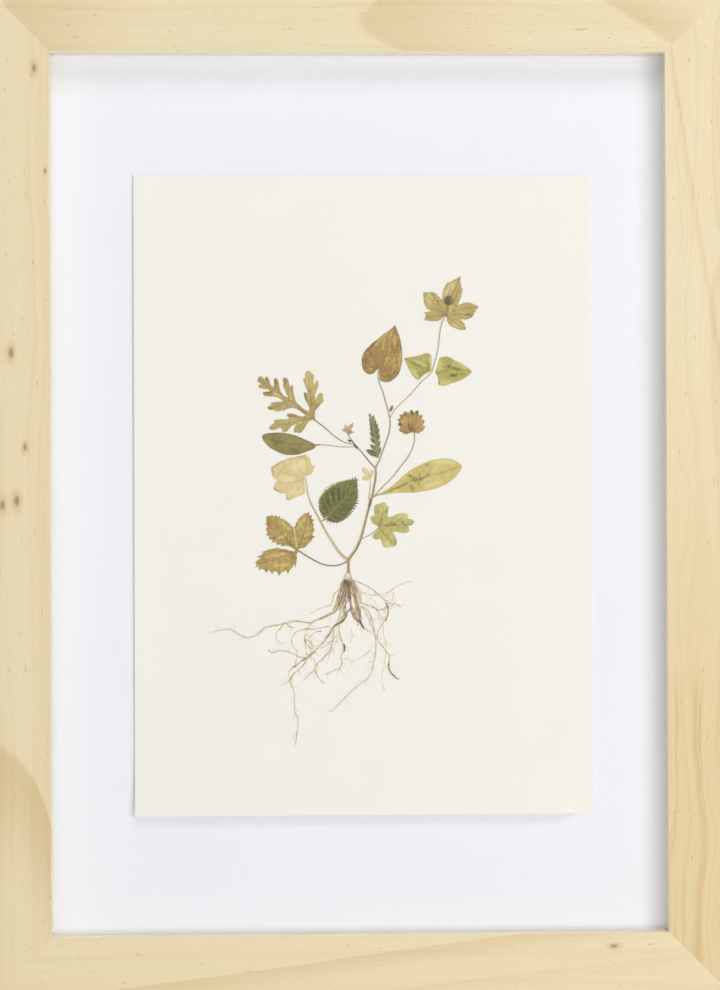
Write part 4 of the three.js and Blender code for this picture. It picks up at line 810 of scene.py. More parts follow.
            (0.25, (12.2, 69.4), (10.8, 71)), (0.25, (13.8, 60.4), (15, 62)),
            (0.25, (13.6, 63), (14.8, 64.8)), (0.25, (13, 65.8), (14.2, 67.8)),
            (0.25, (12.4, 68.8), (13.4, 70.6)),
        ],
    },
    "clover_head": {
        "colours": (0xc8ac76, 0xa08456, 0x886e48, 0xdcb678, 0x4c362e, 0xa68858),
        "grain": 0.6,
        "veins": [
            (0.25, (31.2, 66.2), (29.6, 69), (28.4, 74.6)), (0.22, (31.2, 66.2), (30.4, 71), (30.3, 75.8)),
            (0.22, (31.2, 66.2), (32.4, 71), (32.8, 75.4)), (0.22, (31.4, 66.2), (33.8, 70), (35, 73.6)),
            (0.22, (31.4, 66.2), (34.6, 69), (36, 71.2)), (0.22, (31.4, 66.1), (34.2, 67), (36.2, 68.4)),
            (0.22, (31, 66.2), (28, 69.6), (26, 73.8)), (0.22, (31, 66.2), (27.4, 68.4), (24.2, 71.4)),
            (0.22, (31, 66.1), (27.6, 67), (24.4, 69.2)), (0.22, (31, 66), (27.6, 66), (24.8, 67)),
        ],
        "pales": [(0.9, (35, 71.4), (35.6, 68.6)), (0.8, (26.4, 72), (25.6, 70))],
        "stains": [
            (1.0, (30, 76.4), (30.6, 74.8)), (1.0, (32.8, 76), (33.2, 74.8)), (0.9, (24, 69.6), (25, 69.5)),
            (0.8, (24.6, 73), (25.2, 72.4)), (0.7, (26.4, 75), (26.8, 74.2)),
            (0.7, (36.4, 70.4), (37, 70.2)), (0.4, (29.4, 67), (28.6, 70)), (0.4, (30.2, 67), (30.6, 69)),
            (0.4, (26, 74.2), (26.6, 73.8)),
        ],
    },
    "upper_bud": {
        "colours": (0xb8a082, 0x92785c, 0x6e5640, 0xd4c2a6, 0x5a4230, 0x967c62),
        "grain": 0.5,
        "veins": [(0.2, (20.2, 75.4), (21.6, 78.4))],
        "pales": [(0.4, (21.2, 78.4), (21.7, 77.6))],
        "stains": [(0.5, (20.2, 75.6), (20.5, 76.6))],
    },
    "twig_bud": {
        "colours": (0x6e5c4a, 0x584636, 0x46362a, 0x968268, 0x403228, 0x564636),
        "grain": 0.4,
        "veins": [(0.15, (0.3, 62.4), (1.8, 61.8))],
        "pales": [(0.2, (0.4, 62.5), (0.7, 62.5))],
        "stains": [(0.3, (1.2, 62), (1.6, 61.9))],
    },
    "seed_disc": {
        "colours": (0x928262, 0x6c5c44, 0x584a38, 0xa0986c, 0x4e4032, 0x60503c),
        "grain": 0.45,
        "veins": [(0.3, (47, 127.6), (49, 127.2))],
        "pales": [(0.8, (49.6, 128.6), (49.6, 127))],
        "stains": [(0.5, (47.4, 128.2), (47.8, 126.6))],
    },
}

# How these stand off the paper, in millimetres: the lowest, the thickness, the middle's dome, the
# roughness of the surface, and how far the edge curls up
FLAT_BLADE = (0.01, 0.1, 0.0, 0.035, 0.06)
SHAPES = {
    "seed_disc": (0.3, 0.15, 0.5, 0.12, 0.0),
    "clover_head": (0.02, 0.2, 0.4, 0.1, 0.05),
    "upper_bud": (0.02, 0.15, 0.3, 0.04, 0.0),
    "twig_bud": (0.02, 0.15, 0.25, 0.03, 0.0),
    "ivy_leaf": (0.01, 0.08, 0.0, 0.05, 0.12),
}

# How many degrees a corner of the outline has to turn to stay sharp, how many times deeper its
# notches are than in the simple solid, and the small teeth: their height and pitch in millimetres
SHARP_CORNER = 62
SHARP_CORNERS = {
    "strawberry_leaf": 15,
    "bramble_leaf": 20,
    "clover_head": 30,
    "fern_leaf": 30,
    "top_flower": 40,
}
NOTCHES = {
    "strawberry_leaf": 1.9,
    "fern_leaf": 1.45,
    "clover_head": 1.2,
    "star_leaf": 1.7,
    "small_leaf": 1.7,
}
NOTCH_WIDTH = 2.8
NO_TEETH = (0.0, 1.0)
EDGE_TEETH = {
    "bramble_leaf": (1.3, 1.6),
    "strawberry_leaf": (0.15, 0.6),
    "heart_leaf": (0.3, 1.3),
    "top_flower": (0.5, 1.7),
}

# How fine the blades are, in millimetres, how wide the veins and rims are on them, and how far apart
# the seeds of their unevenness lie
SMOOTH_STEP = 0.24
BLADE_CELL = 0.42
VEIN_SHARE = 0.8
RIM_WIDTH = 0.45
LEAF_SEED_STEP = 1.7


def toothed(loop, height, pitch, seed):
    """The outline with small teeth along it, and a little unevenness."""
    out = right_of(np.roll(loop, -1, axis=0) - np.roll(loop, 1, axis=0))
    tooth = (lengths(loop) / pitch) % 1 - 0.5
    return loop + out * (height * tooth + 0.05 * wavy(loop, 0.9, seed))[:, None]


def notched(loop, gain):
    """The outline with every notch and tooth narrower than NOTCH_WIDTH made `gain` times deeper."""
    count = round(NOTCH_WIDTH / SMOOTH_STEP / 2)
    soft = sum(np.roll(loop, k, axis=0) for k in range(-count, count + 1)) / (2 * count + 1)
    return soft + gain * (loop - soft)


def add_leaf(name, seed):
    facts = LEAVES[name]
    lowest, thick, dome, rough, curl = SHAPES.get(name, FLAT_BLADE)
    loop = smooth_loop(front_outline(name), SMOOTH_STEP, SHARP_CORNERS.get(name, SHARP_CORNER))
    loop = toothed(notched(loop, NOTCHES.get(name, 1.0)), *EDGE_TEETH.get(name, NO_TEETH), seed)
    points, faces = blade_mesh(loop, BLADE_CELL)
    edge = distance_to(points, np.concatenate([loop, loop[:1]]))
    veins = near_routes(points, [(width * VEIN_SHARE, *route) for width, *route in facts["veins"]])
    swell = dome * np.sqrt(np.clip(edge / max(edge.max(), 0.1), 0, 1))
    lift = curl * np.clip(0.5 + wavy(points, 6.0, seed), 0, 1) * np.exp(-edge / 2.5)
    lift += rough * 2 * np.clip(0.5 + wavy(points, 2.2, seed + 7), 0, 1)
    back = lowest + lift
    taper = np.clip(edge / 0.8, 0.45, 1)
    grain = 0.6 * wavy(points, 0.7, seed + 3) * (edge > 0.3)
    front = back + thick * taper + swell + rough * (veins + grain)
    shell, closed = closed_skins(on_paper(points, front), on_paper(points, back), faces)
    values = {
        "vein": veins,
        "pale": near_routes(points, facts["pales"]),
        "stain": near_routes(points, facts["stains"]),
        "rim": np.exp(-edge / RIM_WIDTH),
    }
    skin = leaf_skin(name + "_skin", facts["colours"], facts["grain"])
    both = {key: np.tile(numbers, 2) for key, numbers in values.items()}
    add_piece(name + "_blade", shell, closed, [name], skin, both)


def strand_line(name):
    """The middle line of a CAD strand, from its end near the crown, and its width at each point."""
    loop = front_outline(name)
    size = len(loop)
    half = size // 2
    bend = np.abs(turns(loop))
    ends = bend + np.roll(bend, -1)
    first = int(np.argmax([ends[i] + ends[(i + half) % size] for i in range(half)])) + 1
    one = np.array([loop[(first + k) % size] for k in range(half)])
    other = np.array([loop[(first - 1 - k) % size] for k in range(half)])
    middle = (one + other) / 2
    width = np.linalg.norm(one - other, axis=1)
    if np.linalg.norm(middle[0]) > np.linalg.norm(middle[-1]):
        middle, width = middle[::-1], width[::-1]
    return middle, width


# Stems and roots are tubes with so many sides, and a ring of points every so many millimetres
TUBE_SIDES = 8
TUBE_STEP = 0.6


def graded(share, values):
    """The values, spread evenly from the start to the end, at each share of the way."""
    return np.interp(share, np.linspace(0, 1, len(values)), values)


def tube_faces(count):
    """The sides and ends of a tube whose lengthwise lines of `count` points come one by one."""
    faces = []
    for k in range(TUBE_SIDES):
        after = (k + 1) % TUBE_SIDES
        for i in range(count - 1):
            faces.append((k * count + i, k * count + i + 1, after * count + i + 1, after * count + i))
    faces.append([k * count for k in range(TUBE_SIDES)])
    faces.append([k * count + count - 1 for k in reversed(range(TUBE_SIDES))])
    return faces


def tube(route, widths, depths, lifts, wobble, seed, depth_value=0.5):
    """A tapering, slightly flattened tube along a route: its points, faces and shader values."""
    line = smooth_route(route, TUBE_STEP)
    length = lengths(line)
    width, depth, lift = (graded(length / length[-1], values) for values in (widths, depths, lifts))
    side = right_of(np.gradient(line, axis=0))
    sway = np.array([noise.noise(Vector((s / 2.0, seed, 0))) for s in length])
    swell = np.array([noise.noise(Vector((s / 1.3, seed, 9))) for s in length])
    line = line + side * (sway * wobble)[:, None]
    width = width * (1 + 0.25 * swell * min(1, wobble * 6))
    points, across = [], []
    for k in range(TUBE_SIDES):
        angle = 2 * math.pi * k / TUBE_SIDES
        flat = line + side * (math.cos(angle) * width / 2)[:, None]
        points.append(on_paper(flat, lift + depth / 2 * (1 + math.sin(angle))))
        across.append(np.full(len(line), math.cos(angle)))
    values = {
        "along": np.tile(length + seed * 13.7, TUBE_SIDES),
        "across": np.concatenate(across),
        "depth": np.full(len(line) * TUBE_SIDES, depth_value),
    }
    return np.concatenate(points), tube_faces(len(line)), values


def joined(tubes):
    """Several tubes as one set of points, faces and shader values."""
    faces = []
    start = 0
    for corners, sides, _ in tubes:
        faces.extend([tuple(start + i for i in side) for side in sides])
        start += len(corners)
    points = np.concatenate([corners for corners, _, _ in tubes])
    values = {key: np.concatenate([numbers[key] for _, _, numbers in tubes]) for key in tubes[0][2]}
    return points, faces, values


def stretched(line, before, after):
    """The line with its ends carried on, so that it meets what it grows from and what it bears."""
    first, second, *_ = line
    *_, previous, last = line
    start = first + (first - second) / np.linalg.norm(first - second) * before
    end = last + (last - previous) / np.linalg.norm(last - previous) * after
    return np.concatenate([[start], line[1:-1], [end]])


# The skins of stems: their main, dark and pale colours
STEM_SKINS = {
    "brown": (0xb4986e, 0x74583e, 0xe2ceac),
    "tan": (0xc4ac8a, 0x8e7052, 0xe4d2b2),
    "pale": (0xdecca0, 0xa2865e, 0xf0e4c4),
    "grey": (0xcebe9c, 0xa48e6e, 0xe2d6b8),
    "dark": (0x927e64, 0x62503e, 0xc4b294),
    "scar": (0x604c3c, 0x3e3028, 0x8c765e),
}

# Stems: skin, depth off the paper at the start and the end, and how far each end is carried on
STEMS = {
    "main_stem": ("brown", 1.0, 0.8, 0.5, 0.5),
    "upper_stem": ("tan", 0.7, 0.5, 0.5, 0.8),
    "pair_branch": ("grey", 0.45, 0.45, 0.5, 0.5),
    "flower_stalk": ("grey", 0.5, 0.55, 0.5, 0.8),
    "clover_stalk": ("tan", 0.5, 0.5, 2.0, 0.8),
    "left_twig": ("dark", 0.5, 0.5, 0.5, 0.5),
    "star_stalk": ("dark", 0.45, 0.35, 0.5, 0.5),
    "divided_petiole": ("dark", 0.4, 0.45, 0.5, 1.0),
    "oval_petiole": ("grey", 0.4, 0.4, 0.5, 1.0),
    "left_branch": ("pale", 0.8, 0.5, 0.5, 1.6),
    "strawberry_petiole": ("dark", 0.5, 0.5, 0.5, 0.8),
    "small_leaf_stalk": ("pale", 0.45, 0.35, 1.0, 0.5),
    "oak_petiole": ("brown", 0.35, 0.4, 1.0, 1.0),
}
STEM_SHARE = 0.8
STEM_WOBBLE = 0.05

# Short stalks that join a blade to its stem, and dark scars on the stems: skin, width, depth, route
SHORT_STALKS = {
    "bramble_petiole": ("tan", 0.6, 0.5, (-9.2, 27.0), (-10.6, 25.6), (-12.0, 24.2)),
    "spoon_petiole": ("tan", 0.6, 0.5, (15.4, 37.0), (13.6, 36.4), (11.8, 35.6)),
    "twig_node": ("scar", 1.0, 0.7, (3.4, 60.4), (4.2, 59.5), (5.0, 58.6)),
    "bud_stalk": ("scar", 0.5, 0.5, (1.4, 61.9), (2.2, 62.2), (3.0, 61.2)),
    "oval_base": ("dark", 0.7, 0.5, (-15.0, 60.1), (-12.6, 60.4)),
    "stem_node": ("dark", 1.3, 1.15, (11.4, 34.8), (10.8, 32.9), (10.3, 31.2)),
}


def add_stems():
    skins = {name: stem_skin(name + "_stem_skin", *colours) for name, colours in STEM_SKINS.items()}
    for seed, (name, (skin, start, end, before, after)) in enumerate(STEMS.items()):
        line, width = strand_line(name)
        route = stretched(line, before, after)
        points, faces, values = tube(route, width * STEM_SHARE, (start, end), (0.0,), STEM_WOBBLE, seed)
        add_piece(name + "_round", points, faces, [name], skins[skin], values)
    for seed, (name, (skin, width, depth, *route)) in enumerate(SHORT_STALKS.items()):
        points, faces, values = tube(route, (width,), (depth,), (0.0,), STEM_WOBBLE, seed + 20)
        add_piece(name, points, faces, [], skins[skin], values)


# The strands that hang from the crown, then the fine roots: how dark, 0 to 1, the width at the start
# and at the end, then the route
BUNDLE = [
    (0.5, 0.5, 0.4, (0.3, 0.8), (-0.6, -0.8), (-1.2, -2.6), (-2.0, -4.4)),
    (0.6, 0.5, 0.4, (0.2, 0.6), (0.3, -1.0), (0.2, -2.8), (0.4, -4.6)),
    (0.5, 0.5, 0.4, (0.4, 0.6), (1.0, -0.9), (1.5, -2.4), (2.2, -4.2)),
    (0.4, 0.4, 0.3, (-0.9, -0.6), (-0.2, -1.7), (0.8, -2.2)),
    (0.95, 0.7, 0.35, (-0.8, -2.6), (-1.5, -7), (-2.9, -11), (-4.2, -14.5), (-5.3, -17)),
    (0.95, 0.6, 0.4, (0.3, -2.6), (0.5, -8), (0.9, -12), (1.6, -15), (2.4, -17.4), (3.8, -20), (5, -22.5)),
    (0.8, 0.6, 0.5, (-0.4, -3), (-0.8, -8), (-0.9, -13), (-0.7, -18), (-1.8, -21), (-4, -22.8), (-6, -24),
     (-8.5, -28), (-10.5, -30)),
    (0.75, 0.45, 0.3, (1.5, -3), (3.2, -8), (4.3, -12), (5.1, -15), (5.3, -18), (6.2, -21), (6.7, -23.6),
     (8.2, -26)),
    (0.9, 0.55, 0.3, (0.1, -2.8), (0.1, -6), (0.4, -10), (0.8, -13)),
    (0.9, 0.55, 0.3, (0.9, -2.8), (1.1, -5), (1, -9), (1.4, -12)),
    (0.7, 0.5, 0.3, (-1.4, -3), (-2.2, -6), (-3, -9), (-4, -12.4), (-5, -15)),
    (0.6, 0.5, 0.4, (-1, -4), (-1.9, -9), (-3.4, -13), (-5, -16.4), (-6.8, -18.2), (-9.6, -19.6),
     (-13, -21)),
    (0.85, 0.5, 0.3, (5.2, -15.6), (5.5, -18.6), (5.8, -21), (6.6, -23.2), (7.9, -25.7)),
    (0.7, 0.45, 0.3, (1.8, -15.4), (2.6, -18), (3.5, -20.4), (4.7, -22), (5, -24)),
    (0.7, 0.6, 0.5, (2, -15.2), (0.8, -16.8), (-0.2, -18.2), (-0.8, -20.4), (-3, -22.6), (-5.8, -24)),
    (0.45, 0.4, 0.3, (2.4, -3), (4, -5.4), (5.4, -8), (6.1, -11), (6.1, -13.4)),
    (0.4, 0.4, 0.3, (2, -3), (3.6, -7), (5, -10.4), (5.8, -13)),
    (0.35, 0.6, 0.4, (-1.8, -3), (-3, -7), (-4.4, -10.4), (-5.2, -14), (-6.6, -17)),
    (0.35, 0.7, 0.5, (1.2, -4), (2.6, -8), (3.6, -12), (4, -16), (3.8, -19)),
    (0.3, 0.7, 0.5, (0, -5), (-1.6, -9), (-2.6, -13), (-3, -16), (-4, -20), (-4.6, -24)),
    (0.3, 0.7, 0.5, (0.2, -7), (-0.2, -12), (-1.8, -16), (-1.6, -19), (-3.4, -21.6)),
    (0.3, 0.6, 0.4, (2.2, -6), (3.4, -10), (4.6, -14), (4.4, -18), (5.4, -22)),
    (0.55, 0.4, 0.3, (-2.2, -4.4), (-3.8, -7.4), (-4.6, -8.2)),
    (0.2, 0.8, 0.5, (-4, -12), (-6, -16.4), (-8.6, -18.8), (-11, -19.8)),
    (0.25, 0.6, 0.4, (1.6, -8), (3.8, -13), (4.4, -17)),
    (0.5, 0.4, 0.3, (-0.4, -8), (-2.2, -13), (-3.8, -16.8)),
]
FINE_ROOTS = [
    (1.0, 0.75, 0.4, (-1.9, -32.6), (-1.3, -34.4), (-1.7, -36.4)),
    (1.0, 0.75, 0.4, (5.4, -21.4), (6.2, -23.2), (7.4, -25.4)),
    (0.9, 0.45, 0.3, (19.1, -41.6), (19.4, -44.6), (22.0, -47.9), (23.7, -49.2)),
    (0.75, 0.4, 0.3, (18.1, -13.6), (19.0, -18.0), (17.6, -22.0)),
    (0.3, 0.3, 0.2, (5.5, -7.8), (9, -9.2), (13, -9.9), (17.2, -9.2), (19.5, -8.3), (22.2, -6.3),
     (23.6, -5.4), (25.8, -4.7), (29, -3.3)),
    (0.35, 0.35, 0.2, (-24.8, -46.2), (-27.3, -49.7), (-30.5, -51.5)),
    (0.25, 0.3, 0.2, (-15.2, -44.5), (-13.7, -48.2), (-10.7, -50.7)),
    (0.4, 0.35, 0.25, (-28.5, -23), (-26.5, -24.5), (-24.5, -24.9)),
    (0.3, 0.35, 0.2, (-30, -23.2), (-31, -25), (-33, -27), (-33.2, -30), (-31.8, -31.6), (-29, -32.5)),
    (0.3, 0.35, 0.25, (-19, -25.3), (-24, -27), (-26, -30), (-25.6, -33), (-23.8, -35.5), (-23.2, -38)),
    (0.45, 0.35, 0.3, (-37, -35.2), (-35, -36.4), (-31, -35.4), (-27, -36.4), (-24, -37.7), (-22.8, -38.5),
     (-19.5, -38.8)),
    (0.4, 0.35, 0.3, (-20, -25.4), (-16, -25.6), (-12, -25), (-8, -24.3)),
    (0.2, 0.4, 0.3, (-16, -22.5), (-19, -26), (-20, -30), (-19.5, -34), (-19, -38)),
    (0.25, 0.45, 0.3, (-17, -31), (-16.5, -34), (-17, -37)),
    (0.3, 0.7, 0.9, (-15, -35.8), (-18, -38.2), (-20.5, -39.9), (-23.1, -41.8), (-25.8, -43.4)),
    (0.12, 0.3, 0.2, (11, -14), (16, -20), (16.6, -27), (17.8, -33), (17.5, -38), (16.4, -45), (16, -50),
     (17, -54), (18, -55)),
    (0.15, 0.3, 0.2, (11, -35.4), (8, -37.8), (4, -40), (1, -40.2), (-2, -39)),
    (0.35, 0.3, 0.2, (-4.6, -8), (-6.3, -9.4), (-6.8, -12), (-7.6, -14.4), (-12, -15.5), (-17, -18.4)),
    (0.2, 0.4, 0.3, (6.4, -15), (9, -19), (11, -24), (12.6, -28)),
    (0.2, 0.4, 0.3, (8.6, -26), (10.4, -27.2), (12.4, -29)),
    (0.15, 0.3, 0.2, (6.2, -8.8), (10, -11), (12.4, -13), (13.6, -16), (14.6, -20), (16.2, -24)),
    (0.2, 0.4, 0.3, (-20.4, -30.6), (-18, -31), (-17, -33), (-15.4, -33.6), (-13, -33)),
    (0.15, 0.5, 0.4, (-17, -35), (-16.6, -37), (-18, -38.6)),
    (0.15, 0.5, 0.4, (-18.6, -28), (-19.6, -31), (-18.4, -33.6), (-16, -35)),
    (0.2, 0.4, 0.3, (-12, -26.6), (-15, -27), (-17.6, -29.6), (-18, -32)),
    (0.2, 0.35, 0.2, (-23.4, -38), (-24.4, -41), (-24, -43)),
    (0.2, 0.35, 0.2, (-25.8, -43.4), (-27.4, -46), (-27.8, -48)),
    (0.15, 0.3, 0.2, (-5, -30), (-6.6, -34.6), (-9, -38)),
    (0.15, 0.3, 0.2, (1.8, -25), (2, -29), (1.4, -32)),
    (0.2, 0.3, 0.2, (21.6, -9), (21, -12), (20, -14)),
    (0.15, 0.3, 0.2, (-16, -39), (-15.2, -42), (-15.4, -44)),
    (0.2, 0.4, 0.3, (-4, -28), (-7, -30.4), (-10, -33.4), (-13, -34.6)),
]

# How dark the roots of the CAD model are, the one that crosses over others and how far it is lifted,
# how many strands lie beside each, and their hairs
ROOT_TONES = {
    "root_long_left": 0.62,
    "root_lower_left": 0.6,
    "root_right_loop": 0.55,
    "root_right": 0.42,
    "root_right_outer": 0.5,
    "root_right_side": 0.55,
    "root_middle": 0.55,
    "root_second_left": 0.5,
}
CROSSING_ROOT = "root_right_side"
CROSSING_LIFT = 0.35
COMPANIONS = 4
HAIR_SEED = 11
HAIR_SHADE = 0.12
FINE_ROOT_HAIRS = 3

# The crown's knob: its route, its widths and depths along it, and the bristles round its middle
KNOB_ROUTE = [(0.4, 0.7), (0.1, -0.5), (-0.1, -1.6), (0.1, -2.8)]
KNOB_WIDTHS = (1.1, 2.7, 3.2, 1.6)
KNOB_DEPTHS = (0.9, 1.2, 1.1, 0.5)
KNOB_SHADE = -0.2
KNOB_MIDDLE = (0.1, -1.3)
BRISTLES = 34
BRISTLE_SHADES = (-0.2, -0.2, -0.1, 0.9)


def hairs(line, count, rng):
    """Short curling hairs that leave a root at random places on both sides."""
    made = []
    for _ in range(count):
        i = rng.randrange(1, len(line) - 1)
        ahead = line[i + 1] - line[i - 1]
        heading = math.atan2(ahead[1], ahead[0]) + rng.choice((-1, 1)) * rng.uniform(0.4, 1.1)
        spot = np.array(line[i])
        route = [tuple(spot)]
        for _ in range(rng.randrange(3, 6)):
            heading += rng.uniform(-0.5, 0.5)
            spot = spot + np.array((math.cos(heading), math.sin(heading))) * rng.uniform(0.5, 1.1)
            route.append(tuple(spot))
        made.append(tube(route, (0.2, 0.1), (0.12, 0.08), (0.0,), 0.05, rng.uniform(0, 99), HAIR_SHADE))
    return made


def bristles(rng):
    """Short pale and dark fibres that stand out all round the crown's knob."""
    made = []
    for _ in range(BRISTLES):
        angle = rng.uniform(0, 2 * math.pi)
        out = np.array((math.cos(angle), math.sin(angle)))
        start = np.array(KNOB_MIDDLE) + out * rng.uniform(0.4, 1.3)
        end = start + out * rng.uniform(0.5, 1.1) + np.array((rng.uniform(-0.4, 0.4), -0.3))
        shade = rng.choice(BRISTLE_SHADES)
        route = [tuple(start), tuple(end)]
        made.append(tube(route, (0.3, 0.12), (0.3, 0.15), (0.7, 0.2), 0.1, rng.uniform(0, 99), shade))
    return made


def main_root(name, shade, rng):
    """A root of the CAD model as one strand with thinner and paler ones beside it, and hairs."""
    line, width = strand_line(name)
    seed = rng.uniform(0, 99)
    lift = CROSSING_LIFT if name == CROSSING_ROOT else 0.0
    route = stretched(line, 0.6, 0.6)
    slim = 0.05 + 0.12 * width
    strands = [tube(route, slim, slim[[0, -1]] * 0.8, (lift,), 0.3, seed, shade + 0.1)]
    for _ in range(COMPANIONS):
        scatter = np.array([[rng.uniform(-1, 1), rng.uniform(-1, 1)] for _ in route])
        near = route + scatter * (0.35 * width + 0.12)[:, None]
        pale = shade * rng.uniform(-0.1, 0.6)
        strands.append(tube(near, slim * 0.45, (0.2, 0.12), (lift,), 0.4, rng.uniform(0, 99), pale))
    return strands + hairs(smooth_route(line, 1.0), int(len(line) * 1.6), rng)


def crown_bundle(rng):
    """The crown's pale knob with its bristles, and the strands that hang from it."""
    strands = [tube(KNOB_ROUTE, KNOB_WIDTHS, KNOB_DEPTHS, (0.0,), 0.12, 3, KNOB_SHADE)]
    strands += bristles(rng)
    for shade, start, end, *route in BUNDLE:
        seed = rng.uniform(0, 99)
        slim = (start * 0.4, end * 0.45)
        strands.append(tube(route, slim, slim, (0.2 + shade * 0.3, 0.0), 0.3, seed, shade))
        for _ in range(COMPANIONS):
            near = [(x + rng.uniform(-0.9, 0.9), z + rng.uniform(-0.5, 0.5)) for x, z in route]
            mixed = shade * rng.uniform(-0.1, 1.3)
            thin = (0.18, 0.1)
            strands.append(tube(near, thin, thin, (0.1, 0.0), 0.4, rng.uniform(0, 99), mixed))
    return strands


def fine_roots(rng):
    strands = []
    for shade, start, end, *route in FINE_ROOTS:
        strands.append(tube(route, (start, end), (0.25, 0.15), (0.0,), 0.2, rng.uniform(0, 99), shade))
        strands += hairs(smooth_route(route, 1.0), FINE_ROOT_HAIRS, rng)
    return strands


def add_roots():
    skin = root_skin()
    rng = random.Random(HAIR_SEED)
    for name, shade in ROOT_TONES.items():
        points, faces, values = joined(main_root(name, shade, rng))
        add_piece(name + "_fibre", points, faces, [name], skin, values)
    points, faces, values = joined(crown_bundle(rng))
    add_piece("root_crown_fibres", points, faces, ["root_crown"], skin, values)
    points, faces, values = joined(fine_roots(rng))
    add_piece("fine_roots", points, faces, [], skin, values)


# The sheet: flat under the plant, standing off a little more along its left and lower edges, and
# with its lower right corner down on the mount board, all in millimetres
SHEET_CELL = 3.0
WAVE = 0.12
LEFT_LIFT = 0.6
LOWER_LIFT = 2.8
EDGE_REACH = 36.0
CORNER_DROP = 0.85
CORNER_REACH = 8.0


def sheet_lift(flat, low, high):
    """How far each point of the sheet stands off where it would lie flat."""
    edges = [flat[:, 0] - low.x, high.x - flat[:, 0], flat[:, 1] - low.z, high.z - flat[:, 1]]
    lift = WAVE * wavy(flat, 60.0, 4.0) * np.clip(1 - np.minimum.reduce(edges) / 14, 0, 1) ** 2
    lift += LEFT_LIFT * np.clip(1 - edges[0] / EDGE_REACH, 0, 1) ** 2
    lift += LOWER_LIFT * np.clip(1 - edges[2] / EDGE_REACH, 0, 1) ** 2
    corner = np.clip(2 - np.hypot(edges[1], edges[2]) / CORNER_REACH, 0, 1)
    return lift * (1 - corner) - CORNER_DROP * corner


def add_sheet():
    low, high = (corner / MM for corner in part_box("sheet"))
    columns = round((high.x - low.x) / SHEET_CELL)
    rows = round((high.z - low.z) / SHEET_CELL)
    across = [low.x + (high.x - low.x) * i / columns for i in range(columns + 1)]
    up = [low.z + (high.z - low.z) * j / rows for j in range(rows + 1)]
    flat = np.array([(x, z) for z in up for x in across])
    lift = sheet_lift(flat, low, high)
    corners = [j * (columns + 1) + i for j in range(rows) for i in range(columns)]
    quads = [(a, a + 1, a + columns + 2, a + columns + 1) for a in corners]
    front, back = (np.stack([flat[:, 0], plane - lift, flat[:, 1]], axis=1) for plane in (low.y, high.y))
    points, faces = closed_skins(front, back, quads)
    add_piece("cream_sheet", points, faces, ["sheet"], sheet_paper(), {})


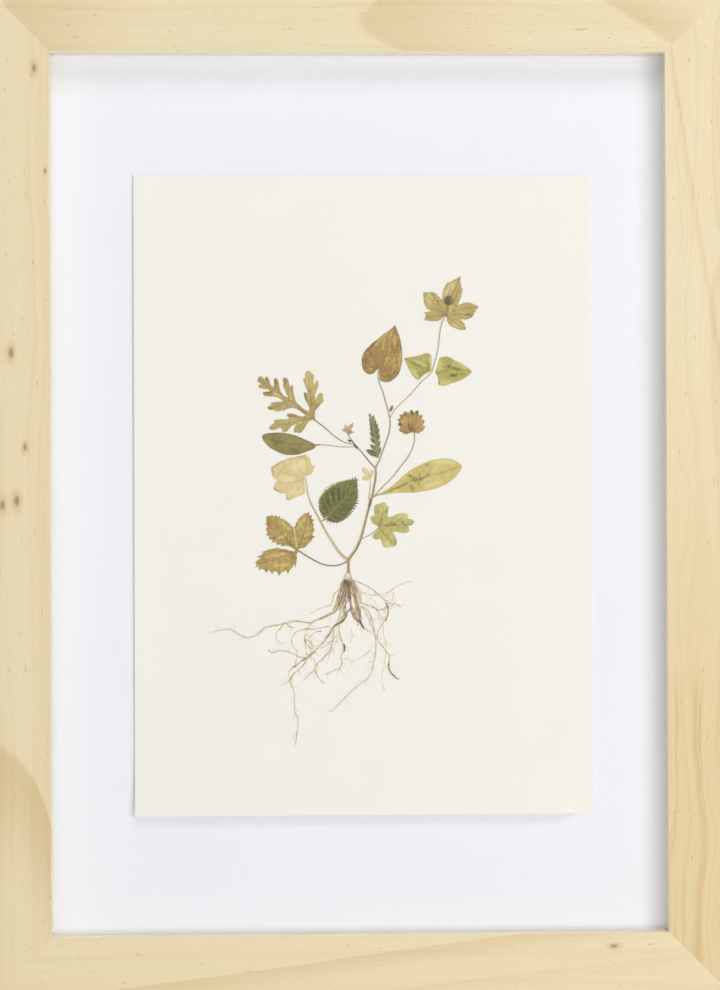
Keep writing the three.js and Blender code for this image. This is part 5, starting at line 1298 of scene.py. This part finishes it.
# The grain of each rail and of the spacers, as pine() takes it. A ring is (across, along, lean, bow,
# fade, strength), a knot (across, along, radius), and a warm stretch (from, to, strength).
RAIL_BEVEL = 0.25 * MM
SPACER_GRAIN = {"lines": 0.3, "shift": 47.0}
RAILS = {
    "rail_top": {
        "upright": False,
        "shift": 3.0,
        "lines": 0.45,
        "rings": [
            (31.0, 1.0, 0.0, 0.09, 80.0, 0.55),
            (31.0, 129.0, -1.6, 0.0, 45.0, 0.6),
            (31.0, -165.0, 0.0, 0.0, 70.0, 0.6),
        ],
    },
    "rail_bottom": {
        "upright": False,
        "shift": 11.0,
        "lines": 0.5,
        "rings": [(-405.7, -40.0, 7.6, 0.0, 90.0, 0.5), (-411.0, 60.0, 9.0, 0.0, 70.0, 0.2)],
        "knots": [(-397.2, 116.7, 0.9)],
    },
    "rail_left": {
        "upright": True,
        "shift": 20.0,
        "lines": 0.55,
        "rings": [(-152.2, -314.1, -1.86, -0.074, -70.0, 0.75)],
        "knots": [
            (-149.5, 9.1, 1.1), (-144.6, -38.4, 0.6), (-160.4, -122.3, 1.3), (-154.1, -165.6, 0.9),
            (-158.0, -190.3, 1.4), (-164.5, -192.3, 1.2),
        ],
    },
    "rail_right": {
        "upright": True,
        "golden": [(-300.0, -90.0)],
        "shift": 31.0,
        "flow": 26.0,
        "lines": 0.8,
        "rings": [(149.9, -7.0, -6.5, 0.0, -26.0, 0.4)],
        "warm": [(-420.0, -265.0, 0.8)],
    },
}


def paint(node, material):
    node.data.materials.clear()
    node.data.materials.append(material)


def paint_frame():
    """The materials of all the pieces that stay as they are, and the rails' eased edges."""
    for name, facts in RAILS.items():
        paint(NODES[name], pine(name + "_pine", **facts))
        bevel = NODES[name].modifiers.new("eased_edges", "BEVEL")
        bevel.width = RAIL_BEVEL
        bevel.segments = 2
        bevel.limit_method = "ANGLE"
    card, metal = mount_card(), zinc()
    upright_strip = pine("upright_spacer_pine", upright=True, **SPACER_GRAIN)
    level_strip = pine("level_spacer_pine", upright=False, **SPACER_GRAIN)
    looks = {
        "mount_board": card,
        "float_pad": card,
        "backing_board": fibreboard(),
        "hanger": metal,
        "glass_pane": clear_glass(),
        "spacer_left": upright_strip,
        "spacer_right": upright_strip,
        "spacer_top": level_strip,
        "spacer_bottom": level_strip,
    }
    looks.update({name: metal for name in NODES if name.startswith("retaining_tab_")})
    for name, material in looks.items():
        paint(NODES[name], material)
    NODES["glass_pane"].visible_shadow = False
    NODES["glass_pane"].visible_diffuse = False


# The floor: how far it lies under the frame and how far it reaches, in metres
FLOOR_GAP = 0.5 * MM
FLOOR_REACH = 30.0


def add_floor():
    """A plain pale floor just under the frame's lower edge."""
    mesh = bpy.data.meshes.new("floor")
    level = CAD_BOX[0][2] - FLOOR_GAP
    corners = [(x * FLOOR_REACH, y * FLOOR_REACH, level) for x, y in ((-1, -1), (1, -1), (1, 1), (-1, 1))]
    mesh.from_pydata(corners, [], [(0, 1, 2, 3)])
    g = Graph("floor_paint", 0.8)
    g.colour(g.mix(g.noise(g.place((0.01, 0.01, 0.01)), 1, 2), tone(0xe4e3e0), tone(0xeae9e7)))
    mesh.materials.append(g.material)
    floor = add_object("floor", mesh)
    floor.visible_glossy = False
    floor.visible_transmission = False
    floor.visible_shadow = False


add_camera()
add_lights()
add_floor()
paint_frame()
add_sheet()
for order, leaf in enumerate(LEAVES):
    add_leaf(leaf, order * LEAF_SEED_STEP)
add_stems()
add_roots()
